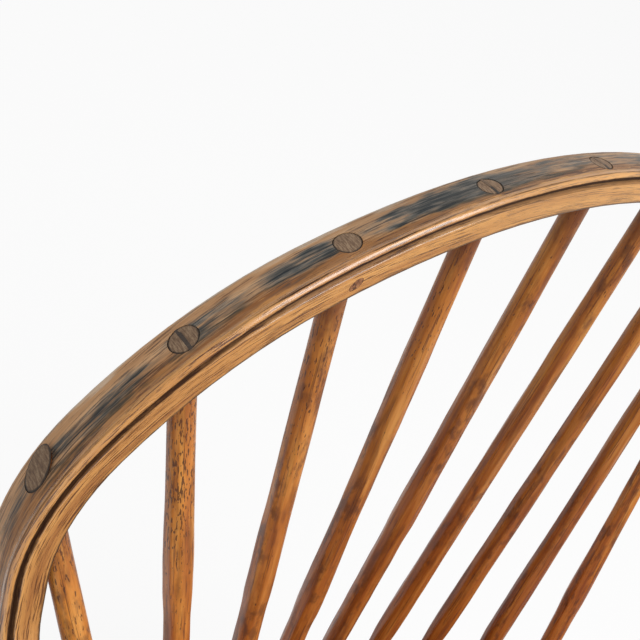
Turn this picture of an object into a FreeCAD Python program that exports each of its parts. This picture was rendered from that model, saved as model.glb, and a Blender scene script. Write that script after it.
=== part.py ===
import FreeCAD, Part
import os
from math import atan2, cos, exp, pi, radians, sin, sqrt
import Sketcher

# Continuous-arm windsor chair, in millimetres. +Z is up and the sitter faces -Y.
# One bent rail makes both arms and the back; every other stick is socketed into it or into the seat.

Vector = FreeCAD.Vector
zAxis = Vector(0, 0, 1)
doc = FreeCAD.newDocument("ContinuousArmWindsor")

# Driving sizes: lengths in millimetres, turns in degrees
sizes = {
    # seat plank
    "seat_height": 440.0,
    "seat_thickness": 44.0,
    "seat_rim": 27.0,
    "seat_side_taper": 9.0,
    "seat_front_reach": 192.0,
    "seat_front_radius": 620.0,
    "seat_corner_radius": 70.0,
    "seat_edge_round": 4.0,
    "seat_bevel_rise": 22.0,
    "seat_bevel_inset": 16.0,
    # saddle carved in the seat
    "saddle_depth": 18.0,
    "saddle_half_width": 168.0,
    "saddle_centre_back": 20.0,
    "saddle_back_reach": 148.0,
    "saddle_front_span": 300.0,
    "pommel_rise": 15.0,
    "pommel_width": 46.0,
    # gutter between the saddle and the spindle deck
    "gutter_inset": 31.0,
    "gutter_radius": 2.6,
    "gutter_depth": 1.8,
    "gutter_sweep": 100.0,
    "gutter_return_radius": 46.0,
    "gutter_return_sweep": 82.0,
    # back of the bent rail
    "back_recline": 16.0,
    "crest_radius": 411.0,
    "crest_sweep": 22.5,
    "haunch_radius": 216.0,
    "haunch_sweep": 26.4,
    "shoulder_clear": 37.07,
    "side_straight": 21.0,
    "crest_overhang": 104.4,
    # arms of the bent rail
    "arm_rise": 232.0,
    "forward_bend_radius": 75.0,
    "arm_blend": 52.0,
    "arm_flare_radius": 300.0,
    "arm_flare": 8.0,
    "arm_reach": 84.0,
    # section of the bent rail
    "rail_thickness": 17.0,
    "rail_depth": 23.0,
    "arm_width": 24.0,
    "arm_thickness": 19.0,
    "bead_radius": 2.2,
    "bead_groove": 1.9,
    "bead_groove_turn": 160.0,
    "bead_top_run": 2.2,
    "bead_top_turn": 25.0,
    "rail_crown_radius": 70.0,
    "rail_back_round": 3.3,
    "rail_under_round": 3.0,
    "rail_arris": 0.8,
    # hand at the end of each arm
    "hand_length": 58.0,
    "hand_swell": 46.0,
    "hand_outer": 26.0,
    "hand_split": 10.2,
    "hand_round": 4.5,
    # long back spindles
    "spindle_circle_radius": 208.0,
    "spindle_foot_pitch": 48.8,
    "spindle_top_pitch": 73.0,
    "spindle_socket_depth": 36.0,
    "spindle_foot_radius": 6.1,
    "spindle_swell_radius": 7.2,
    "spindle_swell_up": 110.0,
    "spindle_upper_radius": 6.4,
    "spindle_upper_down": 130.0,
    "spindle_tenon_radius": 5.7,
    "spindle_tenon_lead": 6.0,
    # short spindles under the arms
    "arm_spindle_foot_first": 68.0,
    "arm_spindle_foot_step": 14.4,
    "arm_spindle_top_first": 66.0,
    "arm_spindle_top_step": 52.0,
    "arm_spindle_swell_radius": 7.4,
    "arm_spindle_swell_up": 84.0,
    "arm_spindle_tenon_radius": 5.5,
    # turned arm posts
    "post_foot_turn": 97.0,
    "post_inset": 24.0,
    "post_socket_depth": 37.0,
    "post_foot_radius": 9.0,
    "post_vase_radius": 15.5,
    "post_vase_up": 78.0,
    "post_neck_radius": 7.8,
    "post_neck_up": 114.0,
    "post_ring_radius": 12.0,
    "post_ring_width": 9.0,
    "post_bulb_radius": 11.0,
    "post_bulb_up": 166.0,
    "post_tenon_radius": 6.2,
    "post_tenon_lead": 6.0,
    # turned legs
    "leg_front_x": 132.0,
    "leg_front_y": 112.0,
    "leg_front_splay": 96.0,
    "leg_front_rake": 53.0,
    "leg_rear_x": 110.0,
    "leg_rear_y": 105.0,
    "leg_rear_splay": 80.0,
    "leg_rear_rake": 145.0,
    "leg_proud": 6.0,
    "leg_tenon_radius": 9.8,
    "leg_shoulder_radius": 13.0,
    "leg_shoulder_down": 60.0,
    "leg_vase_radius": 20.5,
    "leg_vase_down": 142.0,
    "leg_neck_radius": 10.8,
    "leg_neck_down": 174.0,
    "leg_ring_radius": 17.0,
    "leg_ring_width": 11.0,
    "leg_collar_radius": 13.0,
    "leg_spool_radius": 10.2,
    "leg_spool_length": 30.0,
    "leg_bulb_radius": 19.5,
    "leg_bulb_down": 272.0,
    "leg_foot_radius": 11.8,
    # stretchers
    "side_stretcher_radius": 14.0,
    "side_stretcher_tenon_radius": 7.0,
    "side_stretcher_socket_depth": 22.0,
    "medial_stretcher_radius": 13.5,
    "medial_stretcher_tenon_radius": 6.4,
    "medial_stretcher_socket_depth": 15.0,
    "medial_ring_radius": 11.5,
    "medial_ring_width": 8.0,
    "medial_ring_out": 62.0,
    "medial_ring_collar": 8.2,
    "stretcher_lead": 7.0,
    # wedges and pegs that lock the tenons
    "wedge_thickness": 1.4,
    "wedge_tip": 0.5,
    "wedge_depth": 13.0,
    "leg_wedge_thickness": 2.4,
    "leg_wedge_depth": 30.0,
    "peg_half_length": 3.6,
    "peg_half_width": 2.0,
    "peg_turn": 23.0,
    "peg_drop": 2.85,
    "peg_shift": 1.2,
    "peg_depth": 17.0,
    # glue line round every tenon, room below it, and how far a trim or a bore runs past what it cuts
    "glue_line": 0.1,
    "socket_room": 0.4,
    "overrun": 14.0,
    "trim_room": 56.0,
}
longSpindleCount = 9
armSpindleCount = 2
# counted from either end, this long spindle is pegged and not wedged
endToPegCount = 3
levelTolerance = 0.01

sheet = doc.addObject("Spreadsheet::Sheet", "Sizes")
for row, (name, number) in enumerate(sizes.items(), 1):
    sheet.set(f"A{row}", name)
    sheet.set(f"B{row}", str(number))
    sheet.setAlias(f"B{row}", name)
doc.recompute()


def size(name):
    return float(sheet.get(name))


def worth(expression):
    return float(sheet.evalExpression(expression))


def of_sheet(*names):
    return " + ".join(f"Sizes.{name}" for name in names)


def along(start, direction):
    return FreeCAD.Placement(start, FreeCAD.Rotation(Vector(0, 0, 1), direction))


# Places worked out from the sizes
deck = size("seat_height")
recline = radians(size("back_recline"))
backUp = Vector(0, sin(recline), cos(recline))
backFront = Vector(0, -cos(recline), sin(recline))
middleSpindle = (longSpindleCount + 1) / 2
# half the arch is as long as the spindles' spread and the clear run past the last of them,
# so its shoulder takes up what the crest and the haunch leave
archLength = (longSpindleCount - middleSpindle) * size("spindle_top_pitch") + size("shoulder_clear")
archRuns = [(size(f"{run}_radius"), radians(size(f"{run}_sweep"))) for run in ("crest", "haunch")]
shoulderSweep = pi / 2 - sum(sweep for _, sweep in archRuns)
shoulderLength = archLength - sum(radius * sweep for radius, sweep in archRuns)
archRuns.append((shoulderLength / shoulderSweep, shoulderSweep))


def on_arch(distance):
    # place on the rail's centre line, across and down from the crest, and the heading there
    across, down, heading, left = 0.0, 0.0, 0.0, abs(distance)
    for radius, sweep in archRuns:
        turn = min(left / radius, sweep)
        across += radius * (sin(heading + turn) - sin(heading))
        down += radius * (cos(heading) - cos(heading + turn))
        heading += turn
        left -= radius * turn
    side = 1 if distance >= 0 else -1
    return side * across, down + left, side * heading


archHalfWidth, archDrop, _ = on_arch(archLength)
armHeight = deck + size("arm_rise")
bendDrop = size("forward_bend_radius") * (1 - sin(recline))
sideDrop = (archDrop + size("side_straight")) * cos(recline)
crestBack = size("spindle_circle_radius") + size("crest_overhang")
crest = Vector(0, crestBack, armHeight + bendDrop + sideDrop)


def bow_point(distance):
    across, down, heading = on_arch(distance)
    point = crest + Vector(across, 0, 0) - backUp * down
    outward = Vector(sin(heading), 0, 0) + backUp * cos(heading)
    return point, outward


def deck_point(turn):
    radius = size("spindle_circle_radius")
    return Vector(radius * sin(turn), radius * cos(turn), deck)


# Turned pieces: half outlines in a sketch, spun about the stick's own axis
def arc_between(start, end, level):
    # arc from start to end whose centre lies level with one of them, so it runs along the axis there
    middle = (end.x**2 - start.x**2 + (end.y - level)**2 - (start.y - level)**2) / (2 * (end.x - start.x))
    centre = Vector(middle, level, 0)
    first = atan2(start.y - level, start.x - middle)
    last = atan2(end.y - level, end.x - middle)
    circle = Part.Circle(centre, Vector(0, 0, 1), (start - centre).Length)
    if (last - first) % (2 * pi) < pi:
        return Part.ArcOfCircle(circle, first, first + (last - first) % (2 * pi)), (1, 2)
    return Part.ArcOfCircle(circle, last, last + (first - last) % (2 * pi)), (2, 1)


class Outline:
    # half outline of a turning: each step goes on to a radius and a place along the axis
    def __init__(self, sketch):
        self.sketch = sketch
        self.point = Vector(0, 0, 0)
        self.level = "0"
        self.radius = "0"
        self.tail = (-1, 1)

    def bind(self, kind, element, spot, number, expression):
        index = self.sketch.addConstraint(Sketcher.Constraint(kind, element, spot, number))
        self.sketch.setExpression(f"Constraints[{index}]", expression)

    def join(self, element, ends, point, radius, level):
        self.sketch.addConstraint(Sketcher.Constraint("Coincident", *self.tail, element, ends[0]))
        self.point = point
        self.radius = radius
        self.level = level
        self.tail = (element, ends[1])

    def line(self, radius, level):
        point = Vector(worth(radius), worth(level), 0)
        element = self.sketch.addGeometry(Part.LineSegment(self.point, point))
        self.join(element, (1, 2), point, radius, level)
        self.bind("DistanceX", element, 2, point.x, radius)
        if point.y == 0:
            self.sketch.addConstraint(Sketcher.Constraint("PointOnObject", element, 2, -1))
        else:
            self.bind("DistanceY", element, 2, point.y, level)

    def arc(self, radius, level, flat):
        point = Vector(worth(radius), worth(level), 0)
        shape, ends = arc_between(self.point, point, worth(flat))
        element = self.sketch.addGeometry(shape)
        self.join(element, ends, point, radius, level)
        self.bind("DistanceX", element, ends[1], point.x, radius)
        self.bind("DistanceY", element, ends[1], point.y, level)
        self.bind("DistanceY", element, 3, worth(flat), flat)

    def leave(self, radius, level):
        self.arc(radius, level, self.level)

    def settle(self, radius, level):
        self.arc(radius, level, level)

    def ogee(self, radius, level):
        self.leave(f"(({self.radius}) + ({radius})) / 2", f"(({self.level}) + ({level})) / 2")
        self.settle(radius, level)

    def close(self):
        end = Vector(0, self.point.y, 0)
        across = self.sketch.addGeometry(Part.LineSegment(self.point, end))
        axis = self.sketch.addGeometry(Part.LineSegment(end, Vector(0, 0, 0)))
        self.sketch.addConstraint(Sketcher.Constraint("Coincident", *self.tail, across, 1))
        self.sketch.addConstraint(Sketcher.Constraint("Horizontal", across))
        self.sketch.addConstraint(Sketcher.Constraint("PointOnObject", across, 2, -2))
        self.sketch.addConstraint(Sketcher.Constraint("Coincident", across, 2, axis, 1))
        self.sketch.addConstraint(Sketcher.Constraint("Coincident", axis, 2, -1, 1))


def new_body(name, plane):
    body = doc.addObject("PartDesign::Body", name)
    sketch = body.newObject("Sketcher::SketchObject", f"{name}_sketch")
    support = [feature for feature in body.Origin.OriginFeatures if feature.Role == plane][0]
    sketch.AttachmentSupport = (support, [""])
    sketch.MapMode = "FlatFace"
    return body, sketch


def turned(name, draw, start, direction):
    body, sketch = new_body(name, "XZ_Plane")
    outline = Outline(sketch)
    draw(outline)
    outline.close()
    spin = body.newObject("PartDesign::Revolution", f"{name}_turning")
    spin.Profile = sketch
    spin.ReferenceAxis = (sketch, ["V_Axis"])
    spin.Angle = 360
    body.Placement = along(start, direction)
    return body


# Joined pieces: cuts, commons and groups of document objects
def bore(name, radius, depth, start, direction):
    tool = doc.addObject("Part::Cylinder", name)
    tool.setExpression("Radius", radius)
    tool.setExpression("Height", depth)
    tool.Placement = along(start, direction)
    return tool


def cut(name, base, tool):
    result = doc.addObject("Part::Cut", name)
    result.Base = base
    result.Tool = tool
    return result


def common(name, base, tool):
    result = doc.addObject("Part::Common", name)
    result.Base = base
    result.Tool = tool
    return result


def group(name, members):
    result = doc.addObject("Part::Compound", name)
    result.Links = members
    return result


def solid(name, shape):
    result = doc.addObject("Part::Feature", name)
    result.Shape = shape
    return result


nodes = []


def node(label, piece):
    piece.Label = label
    nodes.append(piece)
    return piece


def wedge(name, thickness, depth, tenonRadius, top, direction, across):
    # wedge driven down a tenon from its top, trimmed to the tenon's own round;
    # its taper goes on above the rail's face, where the trim takes it off
    blade = doc.addObject("Part::Wedge", f"{name}_blade")
    growth = f"({thickness} - Sizes.wedge_tip) / {depth}"
    for corner, sign in (("min", "-"), ("max", "")):
        blade.setExpression(f"X{corner}", f"{sign}Sizes.wedge_tip / 2")
        blade.setExpression(f"X2{corner}", f"{sign}({thickness} + {growth} * Sizes.overrun) / 2")
        blade.setExpression(f"Z{corner}", f"{sign}2 * ({tenonRadius})")
        blade.setExpression(f"Z2{corner}", f"{sign}2 * ({tenonRadius})")
    blade.setExpression("Ymin", f"-{depth}")
    blade.setExpression("Ymax", "Sizes.overrun")
    sideways = across - direction * across.dot(direction)
    sideways.normalize()
    turn = FreeCAD.Rotation(direction.cross(sideways), direction, sideways, "ZYX")
    blade.Placement = FreeCAD.Placement(top, turn)
    stem = bore(f"{name}_stem", tenonRadius, f"{depth} + 2 * Sizes.overrun", top, direction)
    stem.Placement = along(top - direction * (worth(depth) + size("overrun") / 2), direction)
    return common(f"{name}_whole", blade, stem)


# Bent rail: one section carried round the back, forward at the elbows and out along the arms
def rail_section(place, outward, front, thickness, depth):
    def at(out, forward):
        return place + outward * out + front * forward

    half, deep = thickness / 2, depth / 2
    bead, crown = size("bead_radius"), size("rail_crown_radius")
    back, under, arris = size("rail_back_round"), size("rail_under_round"), size("rail_arris")
    slant = sqrt(0.5)

    def on_bead(turn):
        return half - bead + bead * cos(turn), deep - bead + bead * sin(turn)

    def on_crown(forward):
        return half - crown + sqrt(crown**2 - forward**2), forward

    grooveTurn, topTurn = radians(size("bead_groove_turn")), -radians(size("bead_top_turn"))
    groove = on_bead(grooveTurn)
    beadTop = on_bead(topTurn)
    faceTop = (groove[0] - size("bead_groove"), deep)
    crownFront = on_crown(beadTop[1] - size("bead_top_run"))
    crownBack = on_crown(back - deep)
    backTop = (crownBack[0] - back, -deep)
    backMid = (crownBack[0] - back + back * slant, back * (1 - slant) - deep)
    underBack = (under - half, -deep)
    underMid = (under * (1 - slant) - half, under * (1 - slant) - deep)
    innerBack = (-half, under - deep)
    innerFront = (-half, deep - arris)
    arrisMid = (arris * (1 - slant) - half, deep - arris * (1 - slant))
    faceLow = (arris - half, deep)
    steps = [
        (faceLow, faceTop),
        (faceTop, groove),
        (groove, on_bead((grooveTurn + topTurn) / 2), beadTop),
        (beadTop, crownFront),
        (crownFront, on_crown(0), crownBack),
        (crownBack, backMid, backTop),
        (backTop, underBack),
        (underBack, underMid, innerBack),
        (innerBack, innerFront),
        (innerFront, arrisMid, faceLow),
    ]
    edges = []
    for step in steps:
        corners = [at(*corner) for corner in step]
        edges.append(Part.Arc(*corners).toShape() if len(corners) == 3 else Part.makeLine(*corners))
    return Part.Face(Part.Wire(edges))


def cap_section(place, outward, front, thickness, depth):
    # the room just outside the rail's crowned face, which trims the through tenons flush
    half, deep, crown = thickness / 2, depth / 2, size("rail_crown_radius")
    low = half - crown + sqrt(crown**2 - deep**2)
    high = half + size("trim_room")
    corners = [(low, deep), (half, 0.0), (low, -deep), (high, -deep), (high, deep)]
    points = [place + outward * out + front * forward for out, forward in corners]
    edges = [Part.Arc(*points[:3]).toShape()]
    edges += [Part.makeLine(points[i], points[(i + 1) % len(points)]) for i in range(2, len(points))]
    return Part.Face(Part.Wire(edges))


class RailPath:
    # moving frame that lays solid runs of the rail end to end
    def __init__(self, section, thickness, depth):
        self.section = section
        self.thickness, self.depth = thickness, depth
        self.place = Vector(crest)
        self.outward, self.front = Vector(backUp), Vector(backFront)
        self.heading = Vector(1, 0, 0)
        self.runs = []

    def face(self):
        return self.section(self.place, self.outward, self.front, self.thickness, self.depth)

    def straight(self, length):
        self.runs.append(self.face().extrude(self.heading * length))
        self.place = self.place + self.heading * length

    def bend(self, centre, axis, turn):
        self.runs.append(self.face().revolve(centre, axis, turn * 180 / pi))
        swing = FreeCAD.Rotation(axis, turn * 180 / pi)
        self.place = centre + swing.multVec(self.place - centre)
        self.outward = swing.multVec(self.outward)
        self.front = swing.multVec(self.front)
        self.heading = swing.multVec(self.heading)

    def blend(self, length, thickness, depth):
        start = self.face()
        self.place = self.place + self.heading * length
        self.thickness, self.depth = thickness, depth
        self.runs.append(Part.makeLoft([start.OuterWire, self.face().OuterWire], True, True))

    def arch(self):
        for radius, sweep in archRuns:
            self.bend(self.place - self.outward * radius, self.front * -1, sweep)
        self.straight(size("side_straight"))

    def joined(self):
        half = self.runs[0].fuse(self.runs[1:])
        whole = half.fuse(half.mirror(Vector(0, 0, 0), Vector(1, 0, 0)))
        return whole.removeSplitter()


armPath = RailPath(rail_section, size("rail_thickness"), size("rail_depth"))
armPath.arch()
elbow = size("forward_bend_radius")
armPath.bend(armPath.place + armPath.front * elbow, Vector(-1, 0, 0), pi / 2 - recline)
armStart = Vector(armPath.place)
armPath.blend(size("arm_blend"), size("arm_width"), size("arm_thickness"))
flareRadius, flare = size("arm_flare_radius"), radians(size("arm_flare"))
armPath.bend(armPath.place + armPath.outward * flareRadius, Vector(0, 0, 1), flare)
armPath.straight(size("arm_reach"))
handPlace = Vector(armPath.place)
handHeading, handOutward = Vector(armPath.heading), Vector(armPath.outward)
armTop = armHeight + size("arm_thickness") / 2


def arm_point(distance):
    # place on the arm's centre line, at a distance forward of the elbow
    past = distance - size("arm_blend")
    if past <= 0:
        return armStart + Vector(0, -distance, 0), Vector(1, 0, 0)
    turn = min(past / flareRadius, flare)
    bent = Vector(flareRadius * (1 - cos(turn)), -flareRadius * sin(turn), 0)
    straight = Vector(sin(turn), -cos(turn), 0) * (past - flareRadius * turn)
    return armStart + Vector(0, -size("arm_blend"), 0) + bent + straight, Vector(cos(turn), sin(turn), 0)


# Hand: a rounded paddle, half of it the rail's own end and half a piece glued on outside
paddle, paddleSketch = new_body("paddle", "XY_Plane")
inner = size("arm_width") / 2
outer = size("hand_outer")
noseRadius = (inner + outer) / 2
noseCentre = Vector(size("hand_length"), (outer - inner) / 2, 0)
swellStart = Vector(0, inner, 0)
swellMid = Vector(size("hand_swell") / 2, (inner + outer) / 2, 0)
swellEnd = Vector(size("hand_swell"), outer, 0)


def ogee_arc(start, end, level):
    # arc that runs straight forward where it meets the end at this level
    drop = end.y - start.y
    run = end.x - start.x
    radius = (drop**2 + run**2) / (2 * abs(drop))
    centre = Vector(level.x, level.y + (radius if level == start else -radius), 0)
    first = atan2(start.y - centre.y, start.x - centre.x)
    last = atan2(end.y - centre.y, end.x - centre.x)
    circle = Part.Circle(centre, Vector(0, 0, 1), radius)
    if level == start:
        return Part.ArcOfCircle(circle, first, last), (1, 2)
    return Part.ArcOfCircle(circle, last, first), (2, 1)


def drawn(sketch, shape, ends=(1, 2)):
    # a sketch element with its first and last spot, in the order a ring passes them
    return sketch.addGeometry(shape), ends


def seal(sketch, kind, pieces):
    # joins the ends of sketch elements into a closed ring
    for (element, ends), (following, nextEnds) in zip(pieces, pieces[1:] + pieces[:1]):
        sketch.addConstraint(Sketcher.Constraint(kind, element, ends[1], following, nextEnds[0]))


def hold(sketch, kind, element, spot, number, expression):
    index = sketch.addConstraint(Sketcher.Constraint(kind, element, spot, number))
    sketch.setExpression(f"Constraints[{index}]", expression)


firstArc, firstEnds = ogee_arc(swellStart, swellMid, swellStart)
lastArc, lastEnds = ogee_arc(swellMid, swellEnd, swellEnd)
nose = Part.ArcOfCircle(Part.Circle(noseCentre, Vector(0, 0, 1), noseRadius), -pi / 2, pi / 2)
heel = Vector(0, -inner, 0)
ring = [
    drawn(paddleSketch, firstArc, firstEnds),
    drawn(paddleSketch, lastArc, lastEnds),
    drawn(paddleSketch, Part.LineSegment(swellEnd, Vector(noseCentre.x, outer, 0))),
    drawn(paddleSketch, nose, (2, 1)),
    drawn(paddleSketch, Part.LineSegment(Vector(noseCentre.x, -inner, 0), heel)),
    drawn(paddleSketch, Part.LineSegment(heel, swellStart)),
]
seal(paddleSketch, "Coincident", ring)
halfArm = "Sizes.arm_width / 2"
hold(paddleSketch, "DistanceY", 0, firstEnds[0], swellStart.y, halfArm)
paddleSketch.addConstraint(Sketcher.Constraint("PointOnObject", 0, firstEnds[0], -2))
paddleSketch.addConstraint(Sketcher.Constraint("PointOnObject", 0, 3, -2))
hold(paddleSketch, "DistanceX", 0, firstEnds[1], swellMid.x, "Sizes.hand_swell / 2")
hold(paddleSketch, "DistanceY", 0, firstEnds[1], swellMid.y, f"({halfArm} + Sizes.hand_outer) / 2")
hold(paddleSketch, "DistanceX", 1, 3, swellEnd.x, "Sizes.hand_swell")
hold(paddleSketch, "DistanceX", 1, lastEnds[1], swellEnd.x, "Sizes.hand_swell")
hold(paddleSketch, "DistanceY", 1, lastEnds[1], swellEnd.y, "Sizes.hand_outer")
paddleSketch.addConstraint(Sketcher.Constraint("Horizontal", 2))
hold(paddleSketch, "DistanceX", 3, 3, noseCentre.x, "Sizes.hand_length")
hold(paddleSketch, "DistanceX", 2, 2, noseCentre.x, "Sizes.hand_length")
hold(paddleSketch, "DistanceX", 4, 1, noseCentre.x, "Sizes.hand_length")
paddleSketch.addConstraint(Sketcher.Constraint("Horizontal", 4))
paddleSketch.addConstraint(Sketcher.Constraint("PointOnObject", 5, 1, -2))
hold(paddleSketch, "DistanceY", 5, 1, heel.y, f"-{halfArm}")
pad = paddle.newObject("PartDesign::Pad", "paddle_pad")
pad.Profile = paddleSketch
pad.setExpression("Length", "Sizes.arm_thickness")
pad.Midplane = True
doc.recompute()


def edges_where(shape, test):
    return [f"Edge{i}" for i, edge in enumerate(shape.Edges, 1) if test(edge)]


def level_edge(edge, level):
    box = edge.BoundBox
    return max(abs(box.ZMin - level), abs(box.ZMax - level)) < levelTolerance


handHalf = size("arm_thickness") / 2
rims = edges_where(pad.Shape, lambda edge: edge.BoundBox.XMax > levelTolerance
                   and (level_edge(edge, handHalf) or level_edge(edge, -handHalf)))
rounding = paddle.newObject("PartDesign::Fillet", "paddle_round")
rounding.Base = (pad, rims)
rounding.setExpression("Radius", "Sizes.hand_round")
paddleTurn = FreeCAD.Rotation(handHeading, handOutward, zAxis, "XYZ")
paddle.Placement = FreeCAD.Placement(handPlace, paddleTurn)
doc.recompute()

splitBlock = doc.addObject("Part::Box", "hand_split_block")
reach = 2 * (size("hand_length") + noseRadius)
splitBlock.Length = reach
splitBlock.Width = reach
splitBlock.Height = reach
blockCorner = handPlace + handOutward * size("hand_split") - (handHeading + zAxis) * (reach / 2)
splitBlock.Placement = FreeCAD.Placement(blockCorner, paddleTurn)
leftHand = node("left_hand_piece", common("left_hand", paddle, splitBlock))
rightHand = doc.addObject("Part::Mirroring", "right_hand")
rightHand.Source = leftHand
rightHand.Normal = Vector(1, 0, 0)
node("right_hand_piece", rightHand)
railEnd = cut("rail_end", paddle, splitBlock)
doc.recompute()
armPath.runs.append(railEnd.Shape)
railBlank = solid("rail_blank", armPath.joined())

capPath = RailPath(cap_section, size("rail_thickness"), size("rail_depth"))
capPath.arch()
railCap = solid("rail_cap", capPath.joined())
armCap = doc.addObject("Part::Box", "arm_cap")
armCap.Length = armCap.Width = 4 * (archHalfWidth + size("hand_outer"))
armCap.setExpression("Height", "Sizes.trim_room")
armCap.Placement.Base = Vector(-armCap.Length.Value / 2, -armCap.Width.Value / 2, armTop)

# Saddle and trims over the seat
saddleCentre = size("saddle_centre_back")


def saddle_level(x, y):
    behind = y > saddleCentre
    span = size("saddle_back_reach") if behind else size("saddle_front_span")
    bowl = 1 - (x / size("saddle_half_width"))**2 - ((y - saddleCentre) / span)**2
    forward = 0 if behind else ((saddleCentre - y) / (saddleCentre + size("seat_front_reach")))**2
    ridge = size("pommel_rise") * exp(-(x / size("pommel_width"))**2) * forward
    return deck - size("saddle_depth") * bowl + ridge


seatRadius = size("spindle_circle_radius") + size("seat_rim")
saddleSpan = seatRadius + size("overrun")
saddleGrid = 19


def saddle_shape():
    steps = [saddleSpan * (2 * i / (saddleGrid - 1) - 1) for i in range(saddleGrid)]
    surface = Part.BSplineSurface()
    surface.interpolate([[Vector(x, y, saddle_level(x, y)) for y in steps] for x in steps])
    return surface.toShape().extrude(Vector(0, 0, size("trim_room")))


saddle = solid("saddle_hollow", saddle_shape())
deckCap = doc.addObject("Part::Box", "deck_cap")
deckCap.Length = deckCap.Width = 2 * saddleSpan
deckCap.setExpression("Height", "Sizes.trim_room")
deckCap.Placement.Base = Vector(-saddleSpan, -saddleSpan, deck)


def gutter_shape():
    # round-bottomed groove behind the saddle whose two ends turn out to the seat's sides
    radius = size("spindle_circle_radius") - size("gutter_inset")
    level = deck + size("gutter_radius") - size("gutter_depth")
    start = Vector(0, radius, level)
    disc = Part.Face(Part.Wire(Part.makeCircle(size("gutter_radius"), start, Vector(1, 0, 0))))
    sweep, back = size("gutter_sweep"), size("gutter_return_radius")
    main = disc.revolve(Vector(0, 0, 0), Vector(0, 0, -1), sweep)
    swing = FreeCAD.Rotation(Vector(0, 0, -1), sweep)
    end = swing.multVec(start)
    tip = Part.Face(Part.Wire(Part.makeCircle(size("gutter_radius"), end, swing.multVec(Vector(1, 0, 0)))))
    turn = tip.revolve(end + swing.multVec(Vector(0, back, 0)), zAxis, size("gutter_return_sweep"))
    half = main.fuse(turn)
    return half.fuse(half.mirror(Vector(0, 0, 0), Vector(1, 0, 0)))


gutter = solid("gutter", gutter_shape())

# Long back spindles, fanned from the deck to the bent rail
spindleFoot = of_sheet("spindle_foot_radius")
spindleTenon = of_sheet("spindle_tenon_radius")
socketDepth = of_sheet("spindle_socket_depth")
stickWedge = of_sheet("wedge_thickness"), of_sheet("wedge_depth")
seatSockets, railMortises = [], []
longWedges, pegs = [], []


def stick_outline(span, lean, swell, swellUp, tenon, upper=None):
    # shaved stick: foot, swell above the seat, then a fine taper to its top tenon,
    # which is the longer the more the stick leans from square to the rail
    rise = f"{span:.6f} + {socketDepth}"
    cover = f"Sizes.rail_thickness / 2 + Sizes.spindle_tenon_lead + {tenon} * {sin(lean):.6f}"
    bite = f"({cover}) / {cos(lean):.6f}"

    def draw(outline):
        outline.line(spindleFoot, "0")
        outline.line(spindleFoot, f"{socketDepth} + Sizes.spindle_tenon_lead")
        outline.settle(swell, f"{socketDepth} + {swellUp}")
        if upper:
            outline.line(upper, f"{rise} - Sizes.spindle_upper_down")
        outline.line(tenon, f"{rise} - {bite}")
        outline.line(tenon, f"{rise} + Sizes.overrun")

    return draw


def foot_socket(name, radius, depth, foot, direction):
    room = f"{depth} + Sizes.socket_room + Sizes.overrun"
    tool = bore(name, f"{radius} + Sizes.glue_line", room, foot, direction)
    tool.Placement = along(foot - direction * (worth(depth) + size("socket_room")), direction)
    seatSockets.append(tool)


def rail_mortise(name, radius, middle, direction):
    tool = bore(name, f"{radius} + Sizes.glue_line", "2 * Sizes.trim_room", middle, direction)
    tool.Placement = along(middle - direction * size("trim_room"), direction)
    railMortises.append(tool)


def oval_peg(name, room, depth, face, long, inward):
    # whittled peg of oval section, driven straight in from the face
    oval = doc.addObject("Part::Ellipse", f"{name}_oval")
    oval.setExpression("MajorRadius", f"Sizes.peg_half_length + {room}")
    oval.setExpression("MinorRadius", f"Sizes.peg_half_width + {room}")
    oval.Placement = FreeCAD.Placement(face, FreeCAD.Rotation(long, inward.cross(long), inward, "ZXY"))
    peg = doc.addObject("Part::Extrusion", name)
    peg.Base = oval
    peg.DirMode = "Custom"
    peg.Dir = inward
    peg.Solid = True
    peg.setExpression("LengthFwd", depth)
    return peg


def peg_face(top, outward, direction, away):
    # on the rail's front face, below the middle of the tenon and a little away from the crest
    down = size("peg_drop") / direction.dot(outward)
    place = top - direction * down + away * size("peg_shift")
    return place + backFront * (size("rail_depth") / 2 - (place - top).dot(backFront))


for number in range(1, longSpindleCount + 1):
    place = number - middleSpindle
    foot = deck_point(place * size("spindle_foot_pitch") / size("spindle_circle_radius"))
    top, outward = bow_point(place * size("spindle_top_pitch"))
    span = (top - foot).Length
    direction = (top - foot) * (1 / span)
    name = f"long_spindle_{number}"
    draw = stick_outline(span, direction.getAngle(outward), of_sheet("spindle_swell_radius"),
                         of_sheet("spindle_swell_up"), spindleTenon, of_sheet("spindle_upper_radius"))
    stick = turned(f"{name}_stick", draw, foot - direction * size("spindle_socket_depth"), direction)
    flush = cut(f"{name}_flush", stick, railCap)
    foot_socket(f"{name}_socket", spindleFoot, socketDepth, foot, direction)
    rail_mortise(f"{name}_mortise", spindleTenon, top, direction)
    if min(number, longSpindleCount + 1 - number) == endToPegCount:
        away = outward.cross(backFront) * (1 if place > 0 else -1)
        turn = radians(size("peg_turn"))
        face, long = peg_face(top, outward, direction, away), outward * sin(turn) - away * cos(turn)
        driven = face, long, backFront * -1
        pegs.append(oval_peg(f"{name}_peg", "0", of_sheet("peg_depth"), *driven))
        hole = oval_peg(f"{name}_peg_hole", "Sizes.glue_line", of_sheet("peg_depth", "socket_room"), *driven)
        railMortises.append(hole)
        node(name, cut(f"{name}_done", flush, hole))
    else:
        crown = top + direction * (size("rail_thickness") / 2 / direction.dot(outward))
        key = wedge(f"{name}_wedge", *stickWedge, spindleTenon, crown, direction, backFront)
        longWedges.append(cut(f"{name}_wedge_flush", key, railCap))
        node(name, cut(f"{name}_done", flush, key))

# Short spindles and turned posts under each arm; the sitter's left is +X
armSpindleWedges, postWedges = [], []
armTenon = of_sheet("arm_spindle_tenon_radius")
postTenon = of_sheet("post_tenon_radius")
postSocket = of_sheet("post_socket_depth")


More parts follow.
